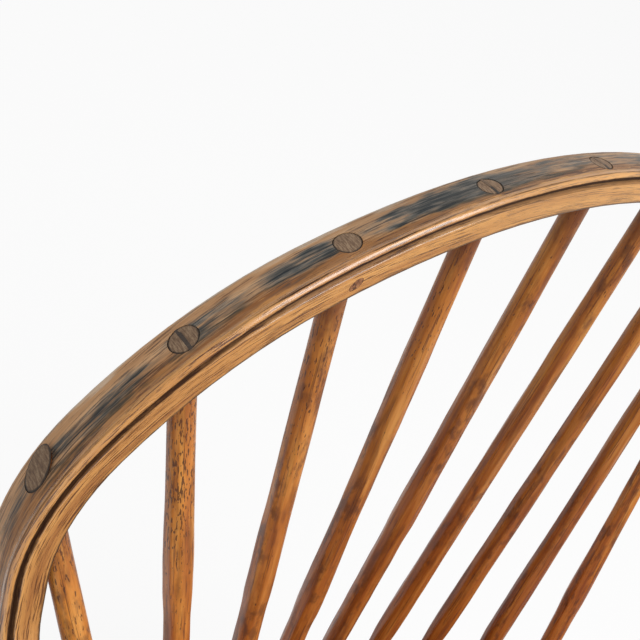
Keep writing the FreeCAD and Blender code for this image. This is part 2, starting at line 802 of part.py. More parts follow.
def post_outline(span):
    rise = f"{span:.6f} + {postSocket}"

    def draw(outline):
        neck = of_sheet("post_neck_radius")
        foot = of_sheet("post_foot_radius")
        ringStart = f"{postSocket} + Sizes.post_neck_up"
        outline.line(foot, "0")
        outline.line(foot, f"{postSocket} + Sizes.post_tenon_lead")
        outline.ogee(of_sheet("post_vase_radius"), f"{postSocket} + Sizes.post_vase_up")
        outline.leave(neck, ringStart)
        outline.settle(of_sheet("post_ring_radius"), f"{ringStart} + Sizes.post_ring_width / 2")
        outline.leave(neck, f"{ringStart} + Sizes.post_ring_width")
        outline.ogee(of_sheet("post_bulb_radius"), f"{postSocket} + Sizes.post_bulb_up")
        outline.ogee(postTenon, f"{rise} - Sizes.arm_thickness / 2 - Sizes.post_tenon_lead")
        outline.line(postTenon, f"{rise} + Sizes.overrun")

    return draw


def flip(point, side):
    return Vector(point.x * side, point.y, point.z)


def under_arm(name, side, foot, top, across, draw, footRadius, depth, tenon, wedges):
    # a stick from the deck up through the arm, wedged on top
    foot, top, across = flip(foot, side), flip(top, side), flip(across, side)
    direction = top - foot
    direction.normalize()
    stick = turned(f"{name}_stick", draw, foot - direction * worth(depth), direction)
    flush = cut(f"{name}_flush", stick, armCap)
    foot_socket(f"{name}_socket", footRadius, depth, foot, direction)
    rail_mortise(f"{name}_mortise", tenon, top, direction)
    crown = top + direction * (size("arm_thickness") / 2 / direction.z)
    key = wedge(f"{name}_wedge", *stickWedge, tenon, crown, direction, across)
    wedges.append(cut(f"{name}_wedge_flush", key, armCap))
    node(name, cut(f"{name}_done", flush, key))


for word, side in (("left", 1), ("right", -1)):
    for number in range(armSpindleCount):
        foot = deck_point(radians(size("arm_spindle_foot_first") + number * size("arm_spindle_foot_step")))
        top, across = arm_point(size("arm_spindle_top_first") + number * size("arm_spindle_top_step"))
        stick = top - foot
        draw = stick_outline(stick.Length, stick.getAngle(zAxis), of_sheet("arm_spindle_swell_radius"),
                             of_sheet("arm_spindle_swell_up"), armTenon)
        under_arm(f"{word}_arm_spindle_{number + 1}", side, foot, top, across, draw,
                  spindleFoot, socketDepth, armTenon, armSpindleWedges)
    foot = deck_point(radians(size("post_foot_turn")))
    armLength = size("arm_blend") + flareRadius * flare + size("arm_reach")
    top, across = arm_point(armLength + size("post_inset"))
    under_arm(f"{word}_arm_post", side, foot, top, across, post_outline((top - foot).Length),
              of_sheet("post_foot_radius"), postSocket, postTenon, postWedges)

# Turned legs, tapered through the seat, and the H of stretchers between them
legWedges = []
legTenon = of_sheet("leg_tenon_radius")
legTop = of_sheet("leg_proud")
legGrowth = size("leg_shoulder_radius") - size("leg_tenon_radius")
legTaper = legGrowth / (size("leg_shoulder_down") + size("leg_proud"))
floorBlock = doc.addObject("Part::Box", "floor_block")
floorBlock.Length = floorBlock.Width = 4 * seatRadius
floorBlock.setExpression("Height", "Sizes.trim_room")
floorBlock.Placement.Base = Vector(-2 * seatRadius, -2 * seatRadius, -size("trim_room"))


def leg_outline(span):
    def down(*names):
        return " + ".join([legTop] + [f"Sizes.{name}" for name in names])

    def draw(outline):
        neck, collar = of_sheet("leg_neck_radius"), of_sheet("leg_collar_radius")
        ringRadius, ringHalf = of_sheet("leg_ring_radius"), "Sizes.leg_ring_width / 2"
        start = down("leg_neck_down")
        spool = f"{start} + Sizes.leg_ring_width"
        second = f"{spool} + Sizes.leg_spool_length"
        outline.line(legTenon, "0")
        outline.line(of_sheet("leg_shoulder_radius"), down("leg_shoulder_down"))
        outline.ogee(of_sheet("leg_vase_radius"), down("leg_vase_down"))
        outline.leave(neck, start)
        outline.settle(ringRadius, f"{start} + {ringHalf}")
        outline.leave(collar, spool)
        outline.settle(of_sheet("leg_spool_radius"), f"{spool} + Sizes.leg_spool_length / 2")
        outline.leave(collar, second)
        outline.settle(ringRadius, f"{second} + {ringHalf}")
        outline.leave(neck, f"{second} + Sizes.leg_ring_width")
        outline.ogee(of_sheet("leg_bulb_radius"), down("leg_bulb_down"))
        outline.leave(of_sheet("leg_foot_radius"), f"{span:.6f} + {legTop} + Sizes.overrun")

    return draw


def leg_line(end, side):
    out, forward = (side, -1) if end == "front" else (side, 1)
    top = Vector(out * size(f"leg_{end}_x"), forward * size(f"leg_{end}_y"), deck)
    foot = Vector(top.x + out * size(f"leg_{end}_splay"), top.y + forward * size(f"leg_{end}_rake"), 0)
    return top, foot


def leg_point(end, side):
    top, foot = leg_line(end, side)
    direction = foot - top
    direction.normalize()
    return top + direction * size("leg_bulb_down")


def stretcher_outline(span, tenon, bulb, clear, drawMiddle=None):
    # two matching halves: tenon, taper and swell, the same from either end
    middle = f"{span:.6f} / 2"

    def draw(outline):
        lead = f"{clear} + Sizes.stretcher_lead"
        outline.line(tenon, "0")
        outline.line(tenon, lead)
        if drawMiddle:
            drawMiddle(outline, middle)
        else:
            outline.ogee(bulb, middle)
        outline.ogee(tenon, f"{span:.6f} - ({lead})")
        outline.line(tenon, f"{span:.6f}")

    return draw


def ringed_middle(outline, middle):
    # bulb at the middle with a small ring each side of it
    collar, ringRadius = of_sheet("medial_ring_collar"), of_sheet("medial_ring_radius")
    half = "Sizes.medial_ring_width / 2"
    for sign in ("-", "+"):
        centre = f"{middle} {sign} Sizes.medial_ring_out"
        outline.ogee(collar, f"{centre} - {half}")
        outline.settle(ringRadius, centre)
        outline.leave(collar, f"{centre} + {half}")
        if sign == "-":
            outline.ogee(of_sheet("medial_stretcher_radius"), middle)


def stretcher(name, start, end, tenon, bulb, hostRadius, depth, drawMiddle=None):
    # a turned stick between two host sticks, socketed past their surfaces
    direction = end - start
    direction.normalize()
    inset = size(hostRadius) - size(depth)
    first, last = start + direction * inset, end - direction * inset
    span = (last - first).Length
    draw = stretcher_outline(span, of_sheet(tenon), of_sheet(bulb), of_sheet(depth), drawMiddle)
    stick = turned(f"{name}_stick", draw, first, direction)
    holes = []
    for spot, inward in ((first, direction), (last, direction * -1)):
        holeDepth = of_sheet(depth, "socket_room", "overrun")
        hole = bore(f"{name}_socket_{len(holes)}", of_sheet(tenon, "glue_line"), holeDepth, spot, inward)
        hole.Placement = along(spot - inward * size("socket_room"), inward)
        holes.append(hole)
    return stick, holes


legSockets = {}
sideSticks = {}
for word, side in (("left", 1), ("right", -1)):
    name = f"{word}_side_stretcher"
    stick, holes = stretcher(name, leg_point("front", side), leg_point("rear", side),
                             "side_stretcher_tenon_radius", "side_stretcher_radius", "leg_bulb_radius",
                             "side_stretcher_socket_depth")
    sideSticks[word] = stick
    legSockets["front", word], legSockets["rear", word] = holes

middles = [(leg_point("front", side) + leg_point("rear", side)) * 0.5 for side in (1, -1)]
medial, medialSockets = stretcher("medial_stretcher", *middles, "medial_stretcher_tenon_radius",
                                  "medial_stretcher_radius", "side_stretcher_radius",
                                  "medial_stretcher_socket_depth", ringed_middle)
node("medial_stretcher", medial)
for (word, stick), hole in zip(sideSticks.items(), medialSockets):
    node(f"{word}_side_stretcher", cut(f"{word}_side_stretcher_done", stick, hole))

for end in ("front", "rear"):
    for word, side in (("left", 1), ("right", -1)):
        name = f"{end}_{word}_leg"
        top, foot = leg_line(end, side)
        span = (foot - top).Length
        direction = (foot - top) * (1 / span)
        start = top - direction * size("leg_proud")
        stick = turned(f"{name}_stick", leg_outline(span), start, direction)
        socket = doc.addObject("Part::Cone", f"{name}_socket")
        socket.setExpression("Radius1", f"{legTenon} + Sizes.glue_line")
        socket.setExpression("Radius2", of_sheet("leg_shoulder_radius", "glue_line"))
        socket.setExpression("Height", f"Sizes.leg_shoulder_down + {legTop}")
        socket.Placement = along(start, direction)
        seatSockets.append(socket)
        tenonWidth = f"{legTenon} + {legTaper * size('leg_proud'):.6f}"
        key = wedge(f"{name}_wedge", of_sheet("leg_wedge_thickness"), of_sheet("leg_wedge_depth"),
                    tenonWidth, top, direction * -1, Vector(1, 0, 0))
        level = cut(f"{name}_level", stick, floorBlock)
        notched = cut(f"{name}_notched", cut(f"{name}_bored", level, legSockets[end, word]), key)
        node(name, cut(f"{name}_done", cut(f"{name}_decked", notched, deckCap), saddle))
        legWedges.append(cut(f"{name}_wedge_flush", cut(f"{name}_wedge_decked", key, deckCap), saddle))

# Seat plank: shield outline, bevelled below, hollowed and bored above
seatBody, seatSketch = new_body("seat_plank", "XY_Plane")
taper = radians(size("seat_side_taper"))
cornerRadius, frontRadius = size("seat_corner_radius"), size("seat_front_radius")
frontCentre = Vector(0, frontRadius - size("seat_front_reach"), 0)
sideNormal = Vector(cos(taper), -sin(taper), 0)
sideHeading = Vector(-sin(taper), -cos(taper), 0)
sideStart = sideNormal * seatRadius
# the corner's centre lies a corner radius inside the side and inside the front's arc
inside = sideNormal * (seatRadius - cornerRadius) - frontCentre
reachBack = inside.dot(sideHeading)
slide = sqrt((frontRadius - cornerRadius)**2 - inside.dot(inside) + reachBack**2) - reachBack
cornerCentre = sideNormal * (seatRadius - cornerRadius) + sideHeading * slide
sideEnd = cornerCentre + sideNormal * cornerRadius
frontStart = frontCentre + (cornerCentre - frontCentre).normalize() * frontRadius


def turn_of(point, centre):
    return atan2(point.y - centre.y, point.x - centre.x)


def mirrored(point):
    return flip(point, -1)


cornerTurns = turn_of(frontStart, cornerCentre), turn_of(sideEnd, cornerCentre)
backArc = Part.ArcOfCircle(Part.Circle(Vector(0, 0, 0), zAxis, seatRadius), -taper, pi + taper)
leftCorner = Part.ArcOfCircle(Part.Circle(cornerCentre, zAxis, cornerRadius), *cornerTurns)
rightCorner = Part.ArcOfCircle(Part.Circle(mirrored(cornerCentre), zAxis, cornerRadius),
                               pi - cornerTurns[1], pi - cornerTurns[0])
frontTurns = turn_of(mirrored(frontStart), frontCentre), turn_of(frontStart, frontCentre)
frontArc = Part.ArcOfCircle(Part.Circle(frontCentre, zAxis, frontRadius), *frontTurns)
seatRing = [
    drawn(seatSketch, backArc),
    drawn(seatSketch, Part.LineSegment(mirrored(sideStart), mirrored(sideEnd))),
    drawn(seatSketch, rightCorner),
    drawn(seatSketch, frontArc),
    drawn(seatSketch, leftCorner),
    drawn(seatSketch, Part.LineSegment(sideEnd, sideStart)),
]
seal(seatSketch, "Tangent", seatRing)
seatSketch.addConstraint(Sketcher.Constraint("Coincident", 0, 3, -1, 1))
seatSketch.addConstraint(Sketcher.Constraint("PointOnObject", 3, 3, -2))
for element, number, expression in (
    (0, seatRadius, "Sizes.spindle_circle_radius + Sizes.seat_rim"),
    (2, cornerRadius, "Sizes.seat_corner_radius"),
    (4, cornerRadius, "Sizes.seat_corner_radius"),
    (3, frontRadius, "Sizes.seat_front_radius"),
):
    index = seatSketch.addConstraint(Sketcher.Constraint("Radius", element, number))
    seatSketch.setExpression(f"Constraints[{index}]", expression)
hold(seatSketch, "DistanceY", 3, 3, frontCentre.y, "Sizes.seat_front_radius - Sizes.seat_front_reach")
hold(seatSketch, "DistanceX", 0, 1, sideStart.x,
     "(Sizes.spindle_circle_radius + Sizes.seat_rim) * cos(Sizes.seat_side_taper * 1 deg)")
hold(seatSketch, "DistanceX", 0, 2, -sideStart.x,
     "-(Sizes.spindle_circle_radius + Sizes.seat_rim) * cos(Sizes.seat_side_taper * 1 deg)")
plank = seatBody.newObject("PartDesign::Pad", "seat_pad")
plank.Profile = seatSketch
plank.setExpression("Length", "Sizes.seat_thickness")
plank.Reversed = True
seatBody.Placement.Base = Vector(0, 0, deck)
doc.recompute()
bevel = seatBody.newObject("PartDesign::Chamfer", "seat_bevel")
bevel.Base = (plank, edges_where(plank.Shape, lambda edge: level_edge(edge, -size("seat_thickness"))))
bevel.ChamferType = "Two distances"
bevel.setExpression("Size", "Sizes.seat_bevel_rise")
bevel.setExpression("Size2", "Sizes.seat_bevel_inset")
doc.recompute()
edgeRound = seatBody.newObject("PartDesign::Fillet", "seat_edge")
edgeRound.Base = (bevel, edges_where(bevel.Shape, lambda edge: level_edge(edge, 0)))
edgeRound.setExpression("Radius", "Sizes.seat_edge_round")
doc.recompute()
hollowed = cut("seat_hollowed", cut("seat_guttered", seatBody, gutter), saddle)
node("seat", cut("seat_done", hollowed, group("seat_sockets", seatSockets)))

# Bent rail with its mortises, and the small pieces that lock the tenons
node("bow_rail", cut("bow_done", railBlank, group("rail_mortises", railMortises)))
node("long_spindle_wedges", group("long_wedge_group", longWedges))
node("arm_spindle_wedges", group("arm_wedge_group", armSpindleWedges))
node("arm_post_wedges", group("post_wedge_group", postWedges))
node("leg_wedges", group("leg_wedge_group", legWedges))
node("bow_pegs", group("peg_group", pegs))
doc.recompute()

# Check every piece, set the chair's middle over the origin and write the pieces out
for item in doc.Objects:
    if {"Invalid", "Error"} & set(item.State):
        raise RuntimeError(f"{item.Name} failed: {item.State}")
for piece in nodes:
    if piece.Shape.isNull() or not piece.Shape.isValid() or not piece.Shape.Solids:
        raise RuntimeError(f"{piece.Label} has no sound solid")
boxes = [piece.Shape.optimalBoundingBox(False, False) for piece in nodes]
middle = (min(box.YMin for box in boxes) + max(box.YMax for box in boxes)) / 2
os.makedirs("parts", exist_ok=True)
for piece in nodes:
    piece.Placement = FreeCAD.Placement(Vector(0, -middle, 0), FreeCAD.Rotation()) * piece.Placement
    piece.Shape.exportStep(f"parts/{piece.Label}.step")
print(f"{len(nodes)} pieces, moved {-middle:.4f} along Y, crest at {crest.z:.2f}, arm at {armHeight:.2f}")
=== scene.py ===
from math import cos, pi, radians, sin

import bmesh
import bpy
import numpy as np
from mathutils import Matrix, Vector, kdtree


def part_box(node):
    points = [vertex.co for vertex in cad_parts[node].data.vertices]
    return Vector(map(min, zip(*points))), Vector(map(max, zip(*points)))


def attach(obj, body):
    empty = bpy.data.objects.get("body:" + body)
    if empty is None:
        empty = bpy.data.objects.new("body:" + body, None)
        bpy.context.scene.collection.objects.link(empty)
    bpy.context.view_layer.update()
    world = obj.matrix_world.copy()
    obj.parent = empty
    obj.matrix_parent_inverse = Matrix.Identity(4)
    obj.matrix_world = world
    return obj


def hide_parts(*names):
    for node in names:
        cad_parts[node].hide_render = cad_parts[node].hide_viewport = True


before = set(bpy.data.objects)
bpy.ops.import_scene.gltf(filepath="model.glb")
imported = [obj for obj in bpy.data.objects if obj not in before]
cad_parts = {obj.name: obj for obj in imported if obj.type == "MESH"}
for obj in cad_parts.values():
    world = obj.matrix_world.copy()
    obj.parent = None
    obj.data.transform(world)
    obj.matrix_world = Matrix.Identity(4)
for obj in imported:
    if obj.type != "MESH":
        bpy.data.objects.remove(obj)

scene = bpy.context.scene
scene.view_settings.view_transform = "Standard"
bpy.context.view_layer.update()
print("frame loaded,", len(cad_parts), "nodes")


# small helpers for node trees: values and links go to sockets by place or by name
def add(tree, kind, inputs=(), out=0, **settings):
    node = tree.nodes.new(kind)
    for name, value in settings.items():
        setattr(node, name, value)
    pairs = inputs.items() if isinstance(inputs, dict) else enumerate(inputs)
    for key, value in pairs:
        if isinstance(value, bpy.types.NodeSocket):
            tree.links.new(value, node.inputs[key])
        elif value is not None:
            node.inputs[key].default_value = value
    return None if out is None else node.outputs[out]


def maths(tree, operation, *terms):
    return add(tree, "ShaderNodeMath", terms, operation=operation)


def product(tree, first, *others):
    for other in others:
        first = maths(tree, "MULTIPLY", first, other)
    return first


def lessened(tree, value, share=1.0):
    # 1 less a share of the value
    return maths(tree, "MULTIPLY_ADD", value, -share, 1.0)


def between(tree, share, first, last):
    return add(tree, "ShaderNodeMix", {0: share, 2: first, 3: last}, data_type="FLOAT")


def vectors(tree, operation, *terms, out=0):
    return add(tree, "ShaderNodeVectorMath", terms, out, operation=operation)


def scaled(tree, vector, factor):
    return add(tree, "ShaderNodeVectorMath", {0: vector, 3: factor}, operation="SCALE")


def axesOf(tree, vector):
    node = tree.nodes.new("ShaderNodeSeparateXYZ")
    tree.links.new(vector, node.inputs[0])
    return node.outputs


def span(tree, value, start, end, first=0.0, last=1.0, kind="SMOOTHSTEP"):
    # eased step from first to last as the value goes from start to end
    return add(tree, "ShaderNodeMapRange", (value, start, end, first, last), interpolation_type=kind)


def easing(tree, look):
    # reads a span's start and end, and its shares where it has them, from the look by name
    return lambda value, name: span(tree, value, *look[name])


def band(tree, value, start, end, soft):
    # 1 between start and end, with soft edges
    rise = span(tree, value, start - soft, start + soft)
    fall = span(tree, value, end - soft, end + soft, 1.0, 0.0)
    return product(tree, rise, fall)


def ramp(tree, value, stops):
    node = tree.nodes.new("ShaderNodeValToRGB")
    elements = node.color_ramp.elements
    elements.remove(elements[1])
    elements[0].position = stops[0][0]
    elements[0].color = (*stops[0][1], 1)
    for place, tone in stops[1:]:
        elements.new(place).color = (*tone, 1)
    tree.links.new(value, node.inputs[0])
    return node.outputs[0]


def greyRamp(tree, value, stops):
    return ramp(tree, value, [(place, (share,) * 3) for place, share in stops])


def tint(tree, share, under, over, blend="MIX"):
    tones = [tone if isinstance(tone, bpy.types.NodeSocket) else (*tone, 1) for tone in (under, over)]
    return add(tree, "ShaderNodeMix", {0: share, 6: tones[0], 7: tones[1]}, 2, data_type="RGBA",
               blend_type=blend)


def noise(tree, vector, stretch, detail=3.0, rough=0.55, twist=0.0):
    drawn = vectors(tree, "MULTIPLY", vector, stretch)
    return add(tree, "ShaderNodeTexNoise",
               {"Vector": drawn, "Scale": 1.0, "Detail": detail, "Roughness": rough, "Distortion": twist})


def spread(tree, texture, low, high):
    # a noise, which mostly lies between 0.3 and 0.7, drawn out to go from low to high
    return span(tree, texture, 0.3, 0.7, low, high, "LINEAR")


def wobble(tree, value, texture, low, high):
    return maths(tree, "ADD", value, spread(tree, texture, low, high))


def attribute(tree, name, out=1):
    return add(tree, "ShaderNodeAttribute", (), out, attribute_name=name)


def newMaterial(name):
    material = bpy.data.materials.new(name)
    material.use_nodes = True
    material.node_tree.nodes.clear()
    return material, material.node_tree


def finish(tree, tone, roughness, height, look, coat=None):
    # closes a material: colour, gloss and a fine relief, and a coat of wax where it has one
    bump = look["bump"]
    relief = add(tree, "ShaderNodeBump",
                 {"Strength": bump["strength"], "Distance": bump["distance"], "Height": height})
    shader = add(tree, "ShaderNodeBsdfPrincipled",
                 {"Base Color": tone, "Roughness": roughness, "Specular IOR Level": look["specular"],
                  "Normal": relief, **(coat or {})})
    add(tree, "ShaderNodeOutputMaterial", (shader,), None)


# what all the woods share: detail and roughness of each noise, steps of the broad figure, soft edges
woodRule = {
    "broad": (4.0, 0.6), "lines": (3.0, 0.6), "pores": (2.0, 0.5), "steps": (0.32, 0.5, 0.68),
    "lineSoft": 0.09, "poreSoft": 0.05, "lineDepth": 0.5,
}


def grain(tree, vector, look, poreFrom=None):
    # wood drawn along the vector's first axis: broad figure, long lines and short pores
    rule = woodRule
    broad = noise(tree, vector, look["broad"], *rule["broad"], look.get("twist", 0.0))
    tone = ramp(tree, broad, list(zip(rule["steps"], (look["dark"], look["middle"], look["light"]))))
    lines = noise(tree, vector, look["lines"], *rule["lines"])
    start = look["lineFrom"]
    lineShare = span(tree, lines, start, start + rule["lineSoft"], 0.0, look["lineShare"])
    tone = tint(tree, lineShare, tone, look["lineTone"])
    pores = noise(tree, vector, look["pores"], *rule["pores"])
    if poreFrom is None:
        start = look["poreFrom"]
    else:
        start = 0.0
        pores = maths(tree, "SUBTRACT", pores, poreFrom)
    poreShare = span(tree, pores, start, start + rule["poreSoft"], 0.0, look["poreShare"])
    tone = tint(tree, poreShare, tone, look["poreTone"])
    hollow = maths(tree, "MULTIPLY_ADD", lineShare, rule["lineDepth"], poreShare)
    return tone, lessened(tree, hollow), broad


# the bent rail's runs, as the solid one has them, in metres and radians
railRuns = {
    "crest": (0.0, 0.24596, 0.89195),
    "recline": radians(16.0),
    "crestRadius": 0.411,
    "crestSweep": radians(22.5),
    "haunchRadius": 0.216,
    "haunchSweep": radians(26.4),
    "shoulderRadius": 0.095,
    "shoulderSweep": radians(41.1),
    "sideStraight": 0.021,
    "elbowRadius": 0.075,
    "armBlend": 0.052,
    "flareRadius": 0.300,
    "flare": radians(8.0),
    "armReach": 0.084,
    "thickness": 0.017,
    "depth": 0.023,
    "armWidth": 0.024,
    "armThickness": 0.019,
    "crownRadius": 0.070,
    "step": 0.001,
}


def layRail():
    # stations along the left half of the rail, from the crest to the hand
    runs = railRuns
    lean = runs["recline"]
    station = {
        "run": 0.0, "place": Vector(runs["crest"]), "heading": Vector((1, 0, 0)),
        "outward": Vector((0, sin(lean), cos(lean))), "front": Vector((0, -cos(lean), sin(lean))),
        "thickness": runs["thickness"], "depth": runs["depth"],
    }
    stations = [dict(station)]

    def lay(length, axis=None, turn=0.0, thickness=None, depth=None):
        steps = max(1, round(length / runs["step"]))
        grow = ((thickness or station["thickness"]) - station["thickness"]) / steps
        deepen = ((depth or station["depth"]) - station["depth"]) / steps
        for _ in range(steps):
            half = Matrix.Rotation(turn / steps / 2, 3, axis) if axis else Matrix.Identity(3)
            reach = 2 * length / turn * sin(turn / steps / 2) if axis else length / steps
            station["place"] = station["place"] + (half @ station["heading"]) * reach
            for name in ("heading", "outward", "front"):
                station[name] = half @ half @ station[name]
            station["run"] += length / steps
            station["thickness"] += grow
            station["depth"] += deepen
            stations.append(dict(station))

    for bend in ("crest", "haunch", "shoulder"):
        lay(runs[f"{bend}Radius"] * runs[f"{bend}Sweep"], -station["front"], runs[f"{bend}Sweep"])
    lay(runs["sideStraight"])
    lay(runs["elbowRadius"] * (pi / 2 - lean), Vector((-1, 0, 0)), pi / 2 - lean)
    elbowEnd = len(stations) - 1
    lay(runs["armBlend"], thickness=runs["armWidth"], depth=runs["armThickness"])
    lay(runs["flareRadius"] * runs["flare"], Vector((0, 0, 1)), runs["flare"])
    lay(runs["armReach"])
    return stations, elbowEnd


stations, elbowEnd = layRail()
railTree = kdtree.KDTree(len(stations))
for index, station in enumerate(stations):
    railTree.insert(station["place"], index)
railTree.balance()


def railAt(run):
    # place on the rail's centre line at a signed distance from the crest, and its outward and front ways
    station = min(stations, key=lambda entry: abs(entry["run"] - abs(run)))
    place = station["place"] + station["heading"] * (abs(run) - station["run"])
    mirror = Vector((1 if run >= 0 else -1, 1, 1))
    return place * mirror, station["outward"] * mirror, station["front"] * mirror


def railPlace(point):
    # distance along the rail, and how far inside its outer and front faces the point lies
    side = 1 if point.x >= 0 else -1
    level = Vector((abs(point.x), point.y, point.z))
    station = stations[railTree.find(level)[1]]
    offset = level - station["place"]
    run = station["run"] + offset.dot(station["heading"])
    out = offset.dot(station["outward"]) - station["thickness"] / 2
    return side * run, out, offset.dot(station["front"]) - station["depth"] / 2


# bent rail: a merged copy of the solid, with the grain's own coordinates laid along the bend
# spans are start, end and, where they have four values, the shares at both; a run is from the crest,
# and the others are in from the outer or the front face, or of a noise
railLook = {
    "mergeDistance": 1e-6,
    "sharpAngle": radians(32.0),
    "front": {
        "broad": (9.0, 260.0, 260.0), "lines": (13.0, 1450.0, 1450.0), "pores": (110.0, 2800.0, 2800.0),
        "dark": (0.43, 0.170, 0.044), "middle": (0.62, 0.280, 0.077), "light": (0.77, 0.380, 0.114),
        "lineFrom": 0.535, "lineShare": 0.95, "lineTone": (0.115, 0.034, 0.009),
        "poreFrom": 0.60, "poreShare": 0.65, "poreTone": (0.13, 0.042, 0.012),
    },
    "outer": {
        "broad": (12.0, 300.0, 300.0), "lines": (24.0, 1100.0, 1100.0), "pores": (90.0, 3000.0, 3000.0),
        "dark": (0.46, 0.228, 0.096), "middle": (0.66, 0.365, 0.175), "light": (0.80, 0.490, 0.262),
        "lineFrom": 0.54, "lineShare": 0.8, "lineTone": (0.14, 0.058, 0.023),
        "poreFrom": 0.62, "poreShare": 0.5, "poreTone": (0.06, 0.033, 0.019),
    },
    "runOut": 0.03,
    # noises that break up the edges: stretch, detail and roughness
    "wander": ((26.0, 60.0, 60.0), 3.0),
    "wanderReach": (-0.0022, 0.0022),
    "streaks": ((45.0, 800.0, 800.0), 4.0, 0.62),
    "streakReach": (-0.0016, 0.0016),
    "fine": ((70.0, 1700.0, 1700.0), 3.0, 0.6),
    "dashes": ((85.0, 430.0, 430.0), 2.0, 0.5),
    "thinDashes": ((60.0, 1150.0, 1150.0), 2.0, 0.5),
    "torn": ((170.0, 800.0, 800.0), 3.0, 0.6),
    # outer face, which turns over into the bead
    "faceFront": (-0.0034, -0.0046),
    "faceOut": (-0.0040, -0.0020),
    "strip": (0.58, 0.40, 0.17),  # deepens the face between the paint and the bead
    "stripBand": (-0.0086, -0.0036, 0.0014),
    "stripStreaks": (0.36, 0.58, 0.55, 0.90),
    # painted sheen: the back arris is painted pale, standing for the white room's reflection at that grazing
    # edge
    "backSheen": (0.88, 0.70, 0.52),
    "backArris": (-0.0196, -0.0222, 0.0, 0.65),
    # painted light: the front face is painted paler towards the crest, where the lamp falls stronger
    "paintedCrestLight": (0.80, 0.435, 0.145),
    "paintedCrestLightRun": (0.16, 0.03, 0.0, 0.32),
    # the outer face is made darker towards the crest
    "crestDarkening": (0.67, 0.69, 0.70),
    "crestDarkeningRun": (0.24, 0.06),
    "topRun": (0.060, 0.100),
    "overCrest": {"backArris": 0.2, "paint": 0.5, "seam": 0.72},  # how much of each shows at the crest
    # paint: the smoky rest of it, through which the grain shows, and its thick core
    "stain": (0.16, 0.28, 0.50),
    "stainSpan": (0.30, 0.86, 0.0, 0.94),
    "paint": (0.010, 0.022, 0.031),
    "paintCore": (0.72, 1.08, 0.0, 0.75),
    "paintMiddle": -0.0125,
    "paintForward": 0.0017,  # how much nearer the bead the paint lies down the sides
    "sideRun": (0.160, 0.205),
    "paintEdge": (0.0033, 0.0077, 1.0, 0.0),
    "paintSpread": 0.0013,  # how much wider the paint is over the crest
    "spreadRun": (0.125, 0.085),
    "streakShare": 1.1,
    "fineShare": 0.7,
    "dashShare": 0.9,
    "thinDashSpan": (0.57, 0.65, 0.0, 0.55),
    "thinDashEdge": (0.0078, 0.0058),
    "thinDashRun": (0.10, 0.17),
    "paintSpan": 0.33,
    # how much paint is left along the back, from the right shoulder over the crest to the left one
    "paintLeft": [
        (-0.330, 0.30), (-0.285, 0.62), (-0.238, 0.76), (-0.226, 0.40), (-0.212, 0.70), (-0.192, 0.66),
        (-0.183, 0.46), (-0.176, 0.80), (-0.152, 0.92), (-0.143, 0.36), (-0.125, 0.74), (-0.095, 0.98),
        (-0.070, 0.96), (-0.048, 0.78), (-0.025, 0.70), (0.010, 0.52), (0.060, 0.90), (0.110, 0.55),
        (0.150, 0.75), (0.200, 0.50), (0.250, 0.68), (0.330, 0.30),
    ],
    # groove: how dark its grime and painted shade are, from the bead across to the front face, over the crest
    # and down the sides
    "grimeAndShade": (0.022, 0.007, 0.003),
    "thinGrimeAndShade": (0.032, 0.012, 0.007),
    "sunkFront": (-0.00002, -0.00014),
    "sunkOut": (-0.0046, -0.0040),
    "grooveFloor": (-0.0032, -0.0024),
    "grooveAcross": (-0.0020, -0.0064),
    "grooveLift": 0.0009,
    "groove": [
        (0.0, 0.0), (0.10, 0.0), (0.23, 0.96), (0.60, 0.98), (0.74, 0.74), (0.90, 0.62), (1.0, 0.45),
    ],
    "sideGroove": [
        (0.0, 0.0), (0.12, 0.0), (0.27, 0.97), (0.78, 0.96), (0.87, 0.70), (0.95, 0.15), (1.0, 0.0),
    ],
    "tear": (0.0009, 0.0014),
    "tornThin": (0.48, 0.66, 0.0, 0.14),
    "frontward": (-0.0040, -0.0032),
    # a darker line along the front face's lower edge
    "lowerEdgeDark": (-0.0152, -0.0164, 0.0, 0.85),
    "edgeRun": (0.435, 0.455, 1.0, 0.0),
    "seam": (-0.0021, -0.0014, 0.0001),
    "seamOut": (-0.0012, -0.0008),
    "seamStreaks": (0.38, 0.54, 0.15, 0.90),
    # bead, arris and their wax
    "handled": (0.165, 0.225),  # how far from the crest the bead is still rubbed and its groove clean
    "handledAgain": (0.240, 0.265, 1.0, 0.35),
    "beadOut": (-0.0038, -0.0032),
    "beadRun": (0.050, 0.090, 0.4, 1.0),
    "arris": (-0.0066, -0.0059, 0.0001),
    "arrisRun": (0.070, 0.105, 0.1, 1.0),
    "crown": (-0.0008, 0.0004, 0.0003),  # waxed top of the bead, by how much further out it lies than forward
    "waxRun": (0.050, 0.090, 0.15, 0.58),
    "arrisWax": 0.7,
    "waxLost": 0.9,
    "waxSmooths": 0.9,
    "wax": {"roughness": 0.18, "ior": 1.8},
    "gloss": (0.38, 0.46),  # roughness of the front and of the outer face
    "rubbedGloss": 0.20,
    "dullGloss": 0.7,
    "specular": 0.35,
    "beadSpecular": 0.7,
    "polishLost": 0.8,
    "dulled": 0.8,
    "paintHeight": 0.4,
    "bump": {"strength": 0.35, "distance": 0.0006},
}


